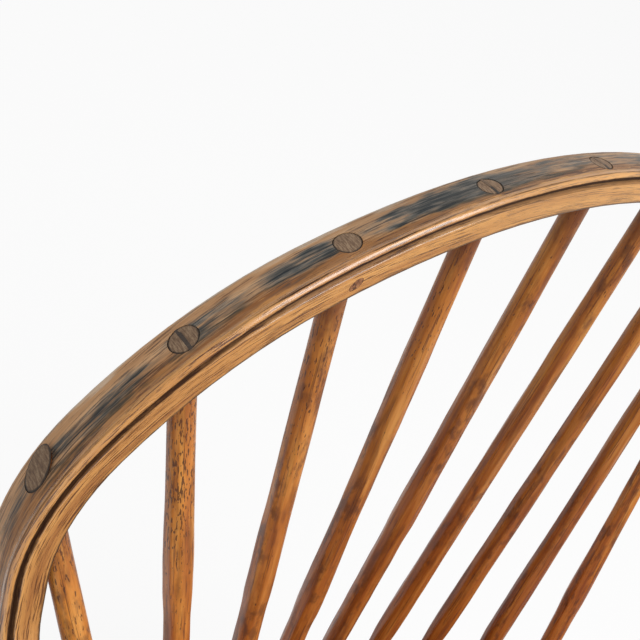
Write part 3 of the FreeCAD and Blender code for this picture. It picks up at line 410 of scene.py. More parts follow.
def railWood():
    look = railLook
    material, tree = newMaterial("railWood")
    eased = easing(tree, look)
    place = attribute(tree, "railGrain")
    run, out, front = axesOf(tree, place)
    fromCrest = maths(tree, "ABSOLUTE", run)

    def offCrest(name):
        return span(tree, fromCrest, *look["topRun"], look["overCrest"][name], 1.0)

    # the grain runs out of the stick at a slight slant
    slant = product(tree, run, look["runOut"])
    drawn = add(tree, "ShaderNodeCombineXYZ",
                (run, maths(tree, "ADD", out, slant), maths(tree, "ADD", front, slant)))
    frontTone, frontHeight, _ = grain(tree, drawn, look["front"])
    outerTone, outerHeight, _ = grain(tree, drawn, look["outer"])
    # outer face: grey-brown, with a redder strip towards the bead
    wandered = wobble(tree, front, noise(tree, place, *look["wander"]), *look["wanderReach"])
    streaks = noise(tree, place, *look["streaks"])
    frayed = wobble(tree, wandered, streaks, *look["streakReach"])
    face = product(tree, eased(frayed, "faceFront"), eased(out, "faceOut"))
    strip = product(tree, band(tree, frayed, *look["stripBand"]), eased(streaks, "stripStreaks"))
    outerTone = tint(tree, strip, outerTone, look["strip"], "MULTIPLY")
    # painted light: the front face grows paler towards the crest, as if more of the lamp fell there
    frontTone = tint(tree, eased(fromCrest, "paintedCrestLightRun"), frontTone, look["paintedCrestLight"])
    # painted sheen along the back arris: paler, as the grazing edge's reflection of the white room
    backSheenShare = product(tree, eased(frayed, "backArris"), offCrest("backArris"))
    outerTone = tint(tree, backSheenShare, outerTone, look["backSheen"])
    # paint worn to streaks that follow the grain
    reach = look["paintSpan"]
    along = span(tree, run, -reach, reach, kind="LINEAR")
    left = greyRamp(tree, along, [((at + reach) / (2 * reach), share) for at, share in look["paintLeft"]])
    sideMiddle = look["paintMiddle"] + look["paintForward"]
    middle = span(tree, fromCrest, *look["sideRun"], look["paintMiddle"], sideMiddle)
    apart = maths(tree, "ABSOLUTE", maths(tree, "SUBTRACT", wandered, middle))
    wider = span(tree, fromCrest, *look["spreadRun"], 0.0, look["paintSpread"])
    apart = maths(tree, "SUBTRACT", apart, wider)
    kept = product(tree, left, eased(apart, "paintEdge"))
    fine = noise(tree, place, *look["fine"])
    dashes = noise(tree, drawn, *look["dashes"])
    for threads, share in ((streaks, "streakShare"), (fine, "fineShare"), (dashes, "dashShare")):
        kept = maths(tree, "MULTIPLY_ADD", maths(tree, "SUBTRACT", threads, 0.5), look[share], kept)
    stain = product(tree, eased(kept, "stainSpan"), face)
    paint = product(tree, eased(kept, "paintCore"), face, offCrest("paint"))
    # outer face darker towards the crest, less so under the stain
    darkened = product(tree, eased(fromCrest, "crestDarkeningRun"), lessened(tree, stain))
    outerTone = tint(tree, darkened, outerTone, look["crestDarkening"], "MULTIPLY")
    tone = tint(tree, face, frontTone, outerTone)
    tone = tint(tree, stain, tone, look["stain"], "MULTIPLY")
    tone = tint(tree, paint, tone, look["paint"])
    # thin dashes of it stay in the open grain
    dashed = eased(noise(tree, drawn, *look["thinDashes"]), "thinDashSpan")
    dashed = product(tree, dashed, face, eased(apart, "thinDashEdge"), eased(fromCrest, "thinDashRun"))
    tone = tint(tree, dashed, tone, look["paint"])
    # grime and painted shade in the groove under the bead, thinner towards the front face's worn arris
    sunk = maths(tree, "MAXIMUM", eased(front, "sunkFront"), eased(out, "sunkOut"))
    torn = noise(tree, place, *look["torn"])
    beside = eased(fromCrest, "handled")
    away = product(tree, beside, eased(fromCrest, "handledAgain"))
    tear = between(tree, away, *look["tear"])
    ragged = maths(tree, "MULTIPLY_ADD", maths(tree, "SUBTRACT", torn, 0.5), tear, out)
    lifted = maths(tree, "ADD", ragged, span(tree, fromCrest, *look["handled"], -look["grooveLift"], 0.0))
    across = span(tree, lifted, *look["grooveAcross"], kind="LINEAR")
    shades = [greyRamp(tree, across, look[name]) for name in ("groove", "sideGroove")]
    thin = product(tree, away, eased(torn, "tornThin"))
    groove = tint(tree, beside, *shades)
    groove = product(tree, groove, sunk, eased(front, "grooveFloor"), lessened(tree, thin))
    tone = tint(tree, groove, tone, tint(tree, away, look["grimeAndShade"], look["thinGrimeAndShade"]))
    forward = eased(front, "frontward")
    # darker line along the front face's lower edge
    edge = product(tree, eased(ragged, "lowerEdgeDark"), forward, eased(fromCrest, "edgeRun"))
    tone = tint(tree, edge, tone, look["grimeAndShade"])
    # dark seam where the bead leaves the outer face: painted shade of a quirk, with grime in it
    seam = product(tree, band(tree, front, *look["seam"]), eased(out, "seamOut"), offCrest("seam"))
    seam = product(tree, seam, eased(streaks, "seamStreaks"), lessened(tree, away))
    tone = tint(tree, seam, tone, look["grimeAndShade"])
    # gloss: rubbed bead and arris, dull groove and paint
    bead = product(tree, eased(out, "beadOut"), forward)
    arris = product(tree, band(tree, out, *look["arris"]), forward, eased(fromCrest, "arrisRun"))
    rubbed = maths(tree, "MAXIMUM", product(tree, bead, eased(fromCrest, "beadRun")), arris)
    crown = band(tree, maths(tree, "SUBTRACT", out, front), *look["crown"])
    waxed = maths(tree, "MAXIMUM", product(tree, crown, bead), product(tree, arris, look["arrisWax"]))
    waxed = product(tree, waxed, lessened(tree, away, look["waxLost"]), eased(fromCrest, "waxRun"))
    gloss = between(tree, rubbed, between(tree, face, *look["gloss"]), look["rubbedGloss"])
    dull = maths(tree, "MAXIMUM", maths(tree, "MAXIMUM", groove, paint), seam)
    gloss = maths(tree, "MAXIMUM", gloss, product(tree, dull, look["dullGloss"]))
    polish = product(tree, rubbed, lessened(tree, away, look["polishLost"]))
    shine = between(tree, polish, look["specular"], look["beadSpecular"])
    shine = product(tree, shine, lessened(tree, dull, look["dulled"]))
    height = between(tree, face, frontHeight, outerHeight)
    height = maths(tree, "ADD", height, product(tree, paint, look["paintHeight"]))
    height = product(tree, height, lessened(tree, waxed, look["waxSmooths"]))
    finish(tree, tone, gloss, height, {**look, "specular": shine},
           {"Coat Weight": waxed, "Coat Roughness": look["wax"]["roughness"], "Coat IOR": look["wax"]["ior"]})
    return material


def handOver(piece, node):
    # the drawn piece takes its solid's place
    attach(piece, "root")
    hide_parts(node)


def drawBow():
    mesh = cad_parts["bow_rail"].data.copy()
    mesh.name = "bow_rail"
    shell = bmesh.new()
    shell.from_mesh(mesh)
    bmesh.ops.remove_doubles(shell, verts=shell.verts, dist=railLook["mergeDistance"])
    shell.to_mesh(mesh)
    shell.free()
    if "custom_normal" in mesh.attributes:
        mesh.attributes.remove(mesh.attributes["custom_normal"])
    mesh.shade_smooth()
    mesh.set_sharp_from_angle(angle=railLook["sharpAngle"])
    places = mesh.attributes.new("railGrain", "FLOAT_VECTOR", "POINT")
    places.data.foreach_set("vector", [axis for vertex in mesh.vertices for axis in railPlace(vertex.co)])
    mesh.materials.clear()
    mesh.materials.append(railWood())
    piece = bpy.data.objects.new("bentBow", mesh)
    scene.collection.objects.link(piece)
    handOver(piece, "bow_rail")
    print("bent bow:", len(mesh.polygons), "faces")


drawBow()

# shaved sticks: one tree draws each from its socket in the seat to its end grain in the rail
stick = {
    "circleRadius": 0.208,
    "circleBack": -0.0664414,
    "footPitch": 0.0488,
    "topPitch": 0.073,
    "count": 9,
    "socketDepth": 0.036,
    "footRadius": 0.0061,
    "swellRadius": 0.0072,
    "swellUp": 0.110,
    "upperRadius": 0.0064,
    "upperDown": 0.130,
    "tenonRadius": 0.0057,
    "shoulder": 0.006,  # how far below the rail the tenon begins
    "armFootTurns": (radians(68.0), radians(82.4)),
    "armTopRuns": (0.066, 0.118),
    "armSwellRadius": 0.0074,
    "armSwellUp": 0.084,
    "armUpperDown": 0.070,
    "armTenonRadius": 0.0055,
    "endSink": 0.00012,
    "endRows": (0.02, 0.88),  # shares of the rows at which the foot's end is closed and the top's end begins
    "rim": 0.09,
    "rimDrop": 0.00045,
    # where the shave left each back stick thick, below the rail, and by how much
    "bulges": {
        1: 0.200, 2: 0.131, 3: 0.205, 4: 0.286, 5: 0.240, 6: 0.381, 7: 0.375, 8: 0.348, 9: 0.260,
    },
    "bulge": 0.0006,
    "bulgeAbove": 0.090,
    "bulgeBelow": 0.022,
    "armBulgeDown": 0.150,
    "armBulge": 0.0004,
    # strokes and flats of the shave
    "strokeWidth": 0.9,
    "strokePitch": 22.0,
    "strokeDepth": 0.0009,
    "facets": 8,
    "facetDepth": 0.62,
    "facetTurn": 0.37,
    "armFacetTurn": 0.29,
    "driftPitch": 7.0,
    "drift": 1.1,
    # how open the pores of each stick are
    "flecks": {1: 0.8, 2: 1.2, 3: 0.6, 4: 0.4, 5: 0.2, 6: 0.1, 7: 0.0, 8: 0.0, 9: 0.6},
    "armFlecks": 0.4,
    "seedStep": 3.1,
    "armSeed": 40.0,
    "armSeedStep": 3.7,
    "rows": 170,
    "sides": 65,
    "mergeDistance": 1e-6,
    "sharpAngle": radians(40.0),
}


def stickTree(material):
    tree = bpy.data.node_groups.new("shavedStick", "GeometryNodeTree")
    tree.is_modifier = True
    for name, kind in (
        ("Foot", "Vector"), ("Along", "Vector"), ("Across", "Vector"), ("Side", "Vector"), ("Face", "Vector"),
        ("Length", "Float"), ("Crown", "Float"), ("Foot Radius", "Float"), ("Swell Radius", "Float"),
        ("Swell Up", "Float"), ("Upper Radius", "Float"), ("Upper Down", "Float"), ("Tenon Radius", "Float"),
        ("Tenon Run", "Float"), ("Bulge Down", "Float"), ("Bulge", "Float"), ("Facet Turn", "Float"),
        ("Flecks", "Float"), ("Seed", "Float"),
    ):
        tree.interface.new_socket(name, in_out="INPUT", socket_type=f"NodeSocket{kind}")
    tree.interface.new_socket("Mesh", in_out="OUTPUT", socket_type="NodeSocketGeometry")
    given = tree.nodes.new("NodeGroupInput").outputs
    body = add(tree, "GeometryNodeMeshGrid", (1.0, 1.0, stick["rows"], stick["sides"]))
    gridUp, gridRound, _ = axesOf(tree, add(tree, "GeometryNodeInputPosition"))
    row = maths(tree, "ADD", gridUp, 0.5)
    turn = product(tree, maths(tree, "ADD", gridRound, 0.5), 2 * pi)
    # rows run over the foot's end, up the stick and in over the top's end grain
    footRows, topRows = stick["endRows"]
    opening = span(tree, row, 0.0, footRows, kind="LINEAR")
    climb = span(tree, row, footRows, topRows, kind="LINEAR")
    closing = span(tree, row, topRows, 1.0, kind="LINEAR")
    unclosed = lessened(tree, closing)
    cosine = maths(tree, "COSINE", turn)
    sine = maths(tree, "SINE", turn)
    spoke = vectors(tree, "ADD", scaled(tree, given["Across"], cosine), scaled(tree, given["Side"], sine))
    # the end follows the rail's face, and its slightly crowned round
    endRadius = product(tree, given["Tenon Radius"], unclosed)
    facing = vectors(tree, "DOT_PRODUCT", given["Along"], given["Face"], out=1)
    rise = vectors(tree, "DOT_PRODUCT", scaled(tree, spoke, endRadius), given["Face"], out=1)
    slant = maths(tree, "DIVIDE", rise, facing)
    depth = product(tree, endRadius, cosine)
    crown = product(tree, depth, depth, given["Crown"])
    reach = maths(tree, "SUBTRACT", maths(tree, "SUBTRACT", given["Length"], slant), crown)
    rim = maths(tree, "POWER", span(tree, closing, 0.0, stick["rim"], 1.0, 0.0, "LINEAR"), 2.0)
    rimDrop = product(tree, rim, maths(tree, "FLOOR", climb), stick["rimDrop"])
    level = maths(tree, "SUBTRACT", product(tree, reach, climb), rimDrop)
    up = maths(tree, "SUBTRACT", level, stick["socketDepth"])
    down = maths(tree, "SUBTRACT", given["Length"], level)
    # foot, swell, upper taper and tenon
    swell = span(tree, up, 0.0, given["Swell Up"])
    swellTop = maths(tree, "ADD", given["Swell Up"], stick["socketDepth"])
    taper = span(tree, down, maths(tree, "SUBTRACT", given["Length"], swellTop), given["Upper Down"])
    tenon = span(tree, down, given["Upper Down"], given["Tenon Run"])
    radius = given["Foot Radius"]
    for share, start, end in ((swell, "Foot", "Swell"), (taper, "Swell", "Upper"), (tenon, "Upper", "Tenon")):
        change = maths(tree, "SUBTRACT", given[f"{end} Radius"], given[f"{start} Radius"])
        radius = maths(tree, "MULTIPLY_ADD", change, share, radius)
    above = maths(tree, "SUBTRACT", given["Bulge Down"], stick["bulgeAbove"])
    below = maths(tree, "ADD", given["Bulge Down"], stick["bulgeBelow"])
    swollen = product(tree, span(tree, down, above, given["Bulge Down"]),
                      span(tree, down, given["Bulge Down"], below, 1.0, 0.0))
    radius = maths(tree, "MULTIPLY_ADD", swollen, given["Bulge"], radius)
    # strokes of the shave: long flats that wander, none at the tenon
    width = stick["strokeWidth"]
    strokes = add(tree, "ShaderNodeCombineXYZ", (
        product(tree, cosine, width), product(tree, sine, width),
        maths(tree, "MULTIPLY_ADD", level, stick["strokePitch"], given["Seed"]),
    ))
    stroke = add(tree, "ShaderNodeTexNoise", {"Vector": strokes, "Scale": 1.0, "Detail": 2.0})
    free = span(tree, down, given["Tenon Run"], given["Upper Down"])
    shave = product(tree, maths(tree, "SUBTRACT", stroke, 0.5), product(tree, free, stick["strokeDepth"]))
    radius = maths(tree, "ADD", radius, shave)
    half = pi / stick["facets"]
    drift = add(tree, "ShaderNodeTexNoise", {
        "W": maths(tree, "MULTIPLY_ADD", level, stick["driftPitch"], given["Seed"]),
        "Scale": 1.0, "Detail": 1.0,
    }, noise_dimensions="1D")
    swing = maths(tree, "MULTIPLY_ADD", drift, stick["drift"], given["Facet Turn"])
    part = maths(tree, "FRACT", maths(tree, "MULTIPLY_ADD", turn, stick["facets"] / (2 * pi), swing))
    aside = product(tree, maths(tree, "SUBTRACT", part, 0.5), 2 * half)
    flat = maths(tree, "DIVIDE", (1 + cos(half)) / 2, maths(tree, "COSINE", aside))
    faceted = product(tree, maths(tree, "SUBTRACT", flat, 1.0), stick["facetDepth"])
    faceted = maths(tree, "MULTIPLY_ADD", faceted, free, 1.0)
    radius = product(tree, radius, faceted, product(tree, opening, unclosed))
    place = vectors(tree, "ADD", given["Foot"], scaled(tree, given["Along"], level))
    place = vectors(tree, "ADD", place, scaled(tree, spoke, radius))
    local = add(tree, "ShaderNodeCombineXYZ", (
        maths(tree, "ADD", down, given["Seed"]), product(tree, cosine, radius), product(tree, sine, radius),
    ))
    for name, value, kind in (("stickGrain", local, "FLOAT_VECTOR"), ("endGrain", closing, "FLOAT"),
                              ("fromRail", down, "FLOAT"), ("flecks", given["Flecks"], "FLOAT")):
        node = tree.nodes.new("GeometryNodeStoreNamedAttribute")
        node.data_type = kind
        node.domain = "POINT"
        node.inputs["Name"].default_value = name
        tree.links.new(body, node.inputs["Geometry"])
        tree.links.new(value, next(entry for entry in node.inputs if entry.name == "Value" and entry.enabled))
        body = node.outputs[0]
    body = add(tree, "GeometryNodeSetPosition", {"Geometry": body, "Position": place})
    body = add(tree, "GeometryNodeMergeByDistance", {"Geometry": body, "Distance": stick["mergeDistance"]})
    body = add(tree, "GeometryNodeRealizeInstances", {"Geometry": body})
    body = add(tree, "GeometryNodeSetMaterial", {"Geometry": body, "Material": material})
    add(tree, "NodeGroupOutput", (body,), None)
    return tree


# noises have stretch, detail and roughness; a run is a distance below the rail's outer face
stickLook = {
    "grain": {
        "broad": (14.0, 240.0, 240.0), "lines": (20.0, 900.0, 900.0), "pores": (220.0, 1150.0, 1150.0),
        "dark": (0.44, 0.125, 0.018), "middle": (0.70, 0.248, 0.036), "light": (0.87, 0.388, 0.084),
        "lineFrom": 0.57, "lineShare": 0.7, "lineTone": (0.16, 0.040, 0.008),
        "poreShare": 0.85, "poreTone": (0.060, 0.017, 0.005),
    },
    "cloud": ((12.0, 30.0, 30.0), 2.0),
    "cloudReach": (-0.05, 0.05),
    "poreRun": (0.06, 0.15, 0.648, 0.765),  # over which the open pores thin out
    "poreOpen": -0.09,
    "close": (0.70, 0.67, 0.64),  # how much deeper a stick without open pores is
    "lower": (0.77, 0.60, 0.47),  # how the tone deepens below the open-pored upper length
    "lowerRun": (0.08, 0.30),
    "patch": (0.14, 0.034, 0.008),
    "patches": ((17.0, 140.0, 140.0), 3.0, 0.6),
    "patchSpan": (0.50, 0.68, 0.0, 0.6),
    # smudges lie in loose chains, and the open-pored sticks have the faintest
    "smudge": (0.110, 0.029, 0.007),
    "smudges": ((75.0, 190.0, 190.0), 3.0, 0.6),
    "smudgeSpan": (0.46, 0.66, 0.0, 0.72),
    "chains": ((9.0, 70.0, 70.0), 2.0),
    "chainSpan": (0.44, 0.57),
    "chainOpen": 0.08,
    "smudgeOpen": (0.5, 1.2, 1.0, 0.3),
    # painted shade with soil at the upper end, close under the rail
    "underReach": (-0.012, 0.012),
    "underRun": (0.055, 0.020, 0.0, 0.82),
    "underOpen": (0.95, 1.2, 1.0, 0.35),
    "gloss": (0.30, 0.42),
    "bump": {"strength": 0.4, "distance": 0.0005},
    "specular": 0.35,
    "end": {
        "tone": (0.262, 0.163, 0.096), "pale": (0.38, 0.258, 0.160), "dark": (0.150, 0.088, 0.050),
        "rings": ((0.0, 260.0, 1500.0), 2.0), "ringSteps": (0.35, 0.5, 0.66),
        "dots": ((0.0, 2600.0, 2600.0), 2.0), "dotSpan": (0.53, 0.63, 0.0, 0.8),
        "rim": (0.022, 0.014, 0.010), "rimSpan": (0.04, 0.15, 0.95, 0.0),
        "torn": ((0.0, 420.0, 420.0), 2.0), "tornReach": (-0.035, 0.025),
        "starts": (0.0, 0.01), "gloss": 0.6,
    },
}


def stickWood():
    look = stickLook
    end = look["end"]
    material, tree = newMaterial("stickWood")
    eased = easing(tree, look)
    place = attribute(tree, "stickGrain")
    closing = attribute(tree, "endGrain", 2)
    down = attribute(tree, "fromRail", 2)
    openness = attribute(tree, "flecks", 2)
    ease = wobble(tree, down, noise(tree, place, *look["cloud"]), *look["cloudReach"])
    poreFrom = maths(tree, "MULTIPLY_ADD", openness, look["poreOpen"], eased(ease, "poreRun"))
    tone, height, _ = grain(tree, place, look["grain"], poreFrom)
    closed = span(tree, openness, 0.0, 1.0, 1.0, 0.0, "LINEAR")
    tone = tint(tree, closed, tone, look["close"], "MULTIPLY")
    tone = tint(tree, eased(ease, "lowerRun"), tone, look["lower"], "MULTIPLY")
    patches = noise(tree, place, *look["patches"])
    tone = tint(tree, eased(patches, "patchSpan"), tone, look["patch"])
    smudges = noise(tree, place, *look["smudges"])
    chains = maths(tree, "MULTIPLY_ADD", openness, look["chainOpen"], noise(tree, place, *look["chains"]))
    smudge = product(tree, eased(smudges, "smudgeSpan"), eased(chains, "chainSpan"))
    smudge = product(tree, smudge, eased(openness, "smudgeOpen"))
    tone = tint(tree, smudge, tone, look["smudge"])
    # painted shade with soil, darkest close under the rail
    under = wobble(tree, down, smudges, *look["underReach"])
    darkened = product(tree, eased(under, "underRun"), eased(openness, "underOpen"))
    tone = tint(tree, darkened, tone, look["patch"])
    # end grain: rings of pores, with a dark ragged seam round the tenon
    rings = noise(tree, place, *end["rings"])
    endTone = ramp(tree, rings, list(zip(end["ringSteps"], (end["dark"], end["tone"], end["pale"]))))
    dots = noise(tree, place, *end["dots"])
    endTone = tint(tree, span(tree, dots, *end["dotSpan"]), endTone, end["dark"])
    ragged = wobble(tree, closing, noise(tree, place, *end["torn"]), *end["tornReach"])
    endTone = tint(tree, span(tree, ragged, *end["rimSpan"]), endTone, end["rim"])
    onEnd = span(tree, closing, *end["starts"])
    tone = tint(tree, onEnd, tone, endTone)
    gloss = between(tree, onEnd, spread(tree, patches, *look["gloss"]), end["gloss"])
    finish(tree, tone, gloss, height, look)
    return material


sticks = stickTree(stickWood())
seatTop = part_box("seat")[1][2]


def onDeck(turn):
    radius = stick["circleRadius"]
    return Vector((radius * sin(turn), radius * cos(turn) + stick["circleBack"], seatTop))


def drawStick(node, foot, rail, half, sizes):
    # from the socket's floor to just under the rail's face; sizes are the tree's own named inputs
    top, face, front = rail
    along = (top - foot).normalized()
    tip = top + along * (half / along.dot(face)) - along * stick["endSink"]
    start = foot - along * stick["socketDepth"]
    across = (front - along * front.dot(along)).normalized()
    values = {
        "Foot": start, "Along": along, "Across": across, "Side": along.cross(across), "Face": face,
        "Length": (tip - start).length, "Foot Radius": stick["footRadius"], **sizes,
    }
    title = node.replace("_", " ").title().replace(" ", "")
    piece = bpy.data.objects.new(title, bpy.data.meshes.new(node))
    scene.collection.objects.link(piece)
    modifier = piece.modifiers.new("shavedStick", "NODES")
    modifier.node_group = sticks
    for socket in sticks.interface.items_tree:
        if socket.in_out == "INPUT" and socket.name in values:
            modifier[socket.identifier] = values[socket.name]
    drawn = piece.evaluated_get(bpy.context.evaluated_depsgraph_get())
    mesh = bpy.data.meshes.new_from_object(drawn)
    piece.modifiers.clear()
    piece.data = mesh
    mesh.shade_smooth()
    mesh.set_sharp_from_angle(angle=stick["sharpAngle"])
    handOver(piece, node)


for number in range(1, stick["count"] + 1):
    step = number - (stick["count"] + 1) / 2
    foot = onDeck(step * stick["footPitch"] / stick["circleRadius"])
    top, face, front = railAt(step * stick["topPitch"])
    lean = (top - foot).normalized().dot(face)
    half = railRuns["thickness"] / 2
    drawStick(f"long_spindle_{number}", foot, (top, face, front), half, {
        "Crown": 0.5 / railRuns["crownRadius"] / lean,
        "Swell Radius": stick["swellRadius"], "Swell Up": stick["swellUp"],
        "Upper Radius": stick["upperRadius"], "Upper Down": stick["upperDown"],
        "Tenon Radius": stick["tenonRadius"],
        "Tenon Run": (railRuns["thickness"] + stick["shoulder"]) / lean,
        "Bulge Down": stick["bulges"][number] + railRuns["thickness"], "Bulge": stick["bulge"],
        "Facet Turn": stick["facetTurn"] * number, "Flecks": stick["flecks"][number],
        "Seed": stick["seedStep"] * number,
    })
elbowRun = stations[elbowEnd]["run"]
for word, side in (("left", 1), ("right", -1)):
    for number, (turn, run) in enumerate(zip(stick["armFootTurns"], stick["armTopRuns"]), 1):
        foot = onDeck(side * turn)
        top, outward, up = railAt(side * (elbowRun + run))
        half = railRuns["armThickness"] / 2
        drawStick(f"{word}_arm_spindle_{number}", foot, (top, up, outward), half, {
            "Crown": 0.0,
            "Swell Radius": stick["armSwellRadius"], "Swell Up": stick["armSwellUp"],
            "Upper Radius": stick["tenonRadius"], "Upper Down": stick["armUpperDown"],
            "Tenon Radius": stick["armTenonRadius"],
            "Tenon Run": railRuns["armThickness"] + stick["shoulder"],
            "Bulge Down": stick["armBulgeDown"], "Bulge": stick["armBulge"],
            "Facet Turn": stick["armFacetTurn"] * number, "Flecks": stick["armFlecks"],
            "Seed": side * (stick["armSeed"] + stick["armSeedStep"] * number),
        })
print("shaved sticks drawn")


# turned and glued-on pieces keep their solids; the grain is turned along each one's own axis
turnedLook = {
    "grain": {
        "broad": (11.0, 150.0, 150.0), "lines": (26.0, 900.0, 900.0), "pores": (190.0, 1900.0, 1900.0),
        "dark": (0.17, 0.056, 0.017), "middle": (0.29, 0.100, 0.029), "light": (0.40, 0.160, 0.048),
        "lineFrom": 0.56, "lineShare": 0.6, "lineTone": (0.11, 0.034, 0.011),
        "poreFrom": 0.66, "poreShare": 0.6, "poreTone": (0.05, 0.020, 0.009),
    },
    "patch": (0.10, 0.034, 0.013),
    "patches": ((9.0, 50.0, 50.0), 3.0, 0.6),
    "patchSpan": (0.52, 0.72, 0.0, 0.7),
    "worn": (0.47, 0.225, 0.085),
    "wornSpan": (0.52, 0.60, 0.0, 0.6),
    "gloss": (0.30, 0.44),
    "bump": {"strength": 0.35, "distance": 0.0006},
    "specular": 0.35,
    "seedStep": 1.7,
}
handLook = {
    **turnedLook,
    "grain": {**railLook["front"], "broad": (14.0, 200.0, 200.0)},
    "patch": (0.20, 0.085, 0.032),
    "worn": (0.58, 0.30, 0.125),
}


def turnedWood(node, look, seed):
    points = np.array([vertex.co[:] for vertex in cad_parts[node].data.vertices])
    centre = points.mean(axis=0)
    _, _, spreadAxes = np.linalg.svd(points - centre, full_matrices=False)
    along, across = Vector(spreadAxes[0]), Vector(spreadAxes[1])
    turn = Matrix((along, across, along.cross(across))).transposed().to_euler()
    material, tree = newMaterial(f"{node}Wood")
    rest = add(tree, "ShaderNodeTexCoord", (), "Object")
    laid = {"Vector": rest, "Location": tuple(centre), "Rotation": tuple(turn)}
    local = add(tree, "ShaderNodeMapping", laid, vector_type="TEXTURE")
    local = vectors(tree, "ADD", local, (seed, 0.0, 0.0))
    tone, height, _ = grain(tree, local, look["grain"])
    patches = noise(tree, local, *look["patches"])
    tone = tint(tree, span(tree, patches, *look["patchSpan"]), tone, look["patch"])
    edges = add(tree, "ShaderNodeNewGeometry", (), "Pointiness")
    tone = tint(tree, span(tree, edges, *look["wornSpan"]), tone, look["worn"])
    finish(tree, tone, spread(tree, patches, *look["gloss"]), height, look)
    return material


def dressNode(node, material):
    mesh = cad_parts[node].data
    mesh.materials.clear()
    mesh.materials.append(material)


for index, node in enumerate(sorted(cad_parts)):
    seed = turnedLook["seedStep"] * index
    if node.endswith(("_leg", "_post", "_stretcher")):
        dressNode(node, turnedWood(node, turnedLook, seed))
    elif node.endswith("_hand_piece"):
        dressNode(node, turnedWood(node, handLook, seed))
print("turnings dressed")


# wedges: bare slips of hard wood gone grey
wedgeLook = {
    "grain": {
        "broad": (120.0, 500.0, 120.0), "lines": (200.0, 2500.0, 300.0), "pores": (900.0, 2600.0, 900.0),
        "dark": (0.040, 0.028, 0.022), "middle": (0.066, 0.048, 0.038), "light": (0.105, 0.078, 0.060),
        "lineFrom": 0.55, "lineShare": 0.6, "lineTone": (0.040, 0.024, 0.016),
        "poreFrom": 0.62, "poreShare": 0.7, "poreTone": (0.03, 0.018, 0.012),
    },
    "pale": (0.20, 0.128, 0.080),  # over the crest, worn as light as the ends they split
    "paleShare": 0.75,
    "paleRun": (0.13, 0.09),
    "crack": (0.020, 0.020, 0.020),
    "crackSpan": (0.2470, 0.2448, 0.0, 0.85),  # it opens towards the rail's front
    "gloss": (0.5, 0.68),
    "bump": {"strength": 0.4, "distance": 0.0003},
    "specular": 0.3,
}
# pegs show mottled end grain, stained like the rail round them, with the wedges' finish
pegLook = {
    "grain": {
        "broad": (520.0, 520.0, 520.0), "lines": (900.0, 900.0, 900.0), "pores": (2200.0, 2200.0, 2200.0),
        "dark": (0.14, 0.050, 0.020), "middle": (0.30, 0.125, 0.055), "light": (0.48, 0.225, 0.100),
        "lineFrom": 0.49, "lineShare": 0.9, "lineTone": (0.075, 0.026, 0.012),
        "poreFrom": 0.62, "poreShare": 0.7, "poreTone": (0.04, 0.016, 0.009),
    },
    **{part: wedgeLook[part] for part in ("gloss", "bump", "specular")},
}


def slipWood(name, look):
    material, tree = newMaterial(name)
    rest = add(tree, "ShaderNodeTexCoord", (), "Object")
    tone, height, broad = grain(tree, rest, look["grain"])
    if "pale" in look:
        sideways, back, _ = axesOf(tree, rest)
        top = span(tree, maths(tree, "ABSOLUTE", sideways), *look["paleRun"])
        tone = tint(tree, product(tree, top, look["paleShare"]), tone, look["pale"])
        crack = product(tree, top, span(tree, back, *look["crackSpan"]))
        tone = tint(tree, crack, tone, look["crack"])
    finish(tree, tone, spread(tree, broad, *look["gloss"]), height, look)
    return material


slips = slipWood("wedgeWood", wedgeLook)
for node in ("long_spindle_wedges", "arm_spindle_wedges", "arm_post_wedges", "leg_wedges"):
    dressNode(node, slips)
dressNode("bow_pegs", slipWood("pegWood", pegLook))
print("wedges and pegs dressed")


# seat: one wide plank, grain from front to back, polished where it is sat on
seatLook = {
    "grain": {
        "broad": (2.2, 34.0, 34.0), "lines": (7.0, 420.0, 420.0), "pores": (60.0, 1500.0, 1500.0),
        "twist": 0.6,
        "dark": (0.21, 0.080, 0.023), "middle": (0.35, 0.152, 0.047), "light": (0.48, 0.230, 0.076),
        "lineFrom": 0.55, "lineShare": 0.55, "lineTone": (0.13, 0.050, 0.019),
        "poreFrom": 0.63, "poreShare": 0.55, "poreTone": (0.07, 0.028, 0.012),
    },
    "pith": (0.035, 0.10, 0.300),  # heart of the tree, under the plank
    "taper": (1.0, 0.07, 1.0),
    "ringBend": ((9.0, 2.5, 9.0), 3.0, 0.5),
    "ringBendReach": 0.045,
    "ringPitch": 0.0085,
    "ringRise": (0.25, 0.90),
    "ringFall": (0.92, 1.0, 1.0, 0.0),
    "ringTone": (0.115, 0.042, 0.014),
    "ringShare": 0.5,
    "cloud": ((18.0, 18.0, 18.0), 4.0, 0.6),
    "saddle": (0.0, -0.050, 0.430),
    "saddleSpan": (0.04, 0.190),
    "saddleCloud": (-0.04, 0.04),
    "polish": 0.55,
    "worn": (0.54, 0.285, 0.105),
    "edgeCloud": (-0.02, 0.02),
    "frontEdge": (-0.215, -0.250, 0.0, 0.5),
    "deckHeight": 0.440,
    "deckSpan": (0.165, 0.215, 0.0, 0.55),
    "deckGrime": (0.10, 0.042, 0.017),
    # gutter: an arc behind the saddle whose two ends turn out to the sides
    "gutterRadius": 0.177,
    "gutterWidth": (0.0032, 0.0020),
    "gutterEnd": (-0.099, -0.095),
    "gutterTop": (0.43996, 0.4392, 0.0, 0.8),
    "gutterFloor": (0.4372, 0.4380),
    "returnCentre": (0.2196, -0.1052, 0.0),
    "returnRadius": 0.046,
    "gutterTone": (0.030, 0.012, 0.005),
    "gloss": (0.28, 0.45),
    "bump": {"strength": 0.3, "distance": 0.0008},
    "specular": 0.35,
}


def gutterLine(tree, flat, centre, radius):
    # 1 on a circle in plan, as wide as the gutter
    reach = vectors(tree, "DISTANCE", flat, centre, out=1)
    aside = maths(tree, "ABSOLUTE", maths(tree, "SUBTRACT", reach, radius))
    return span(tree, aside, *seatLook["gutterWidth"])


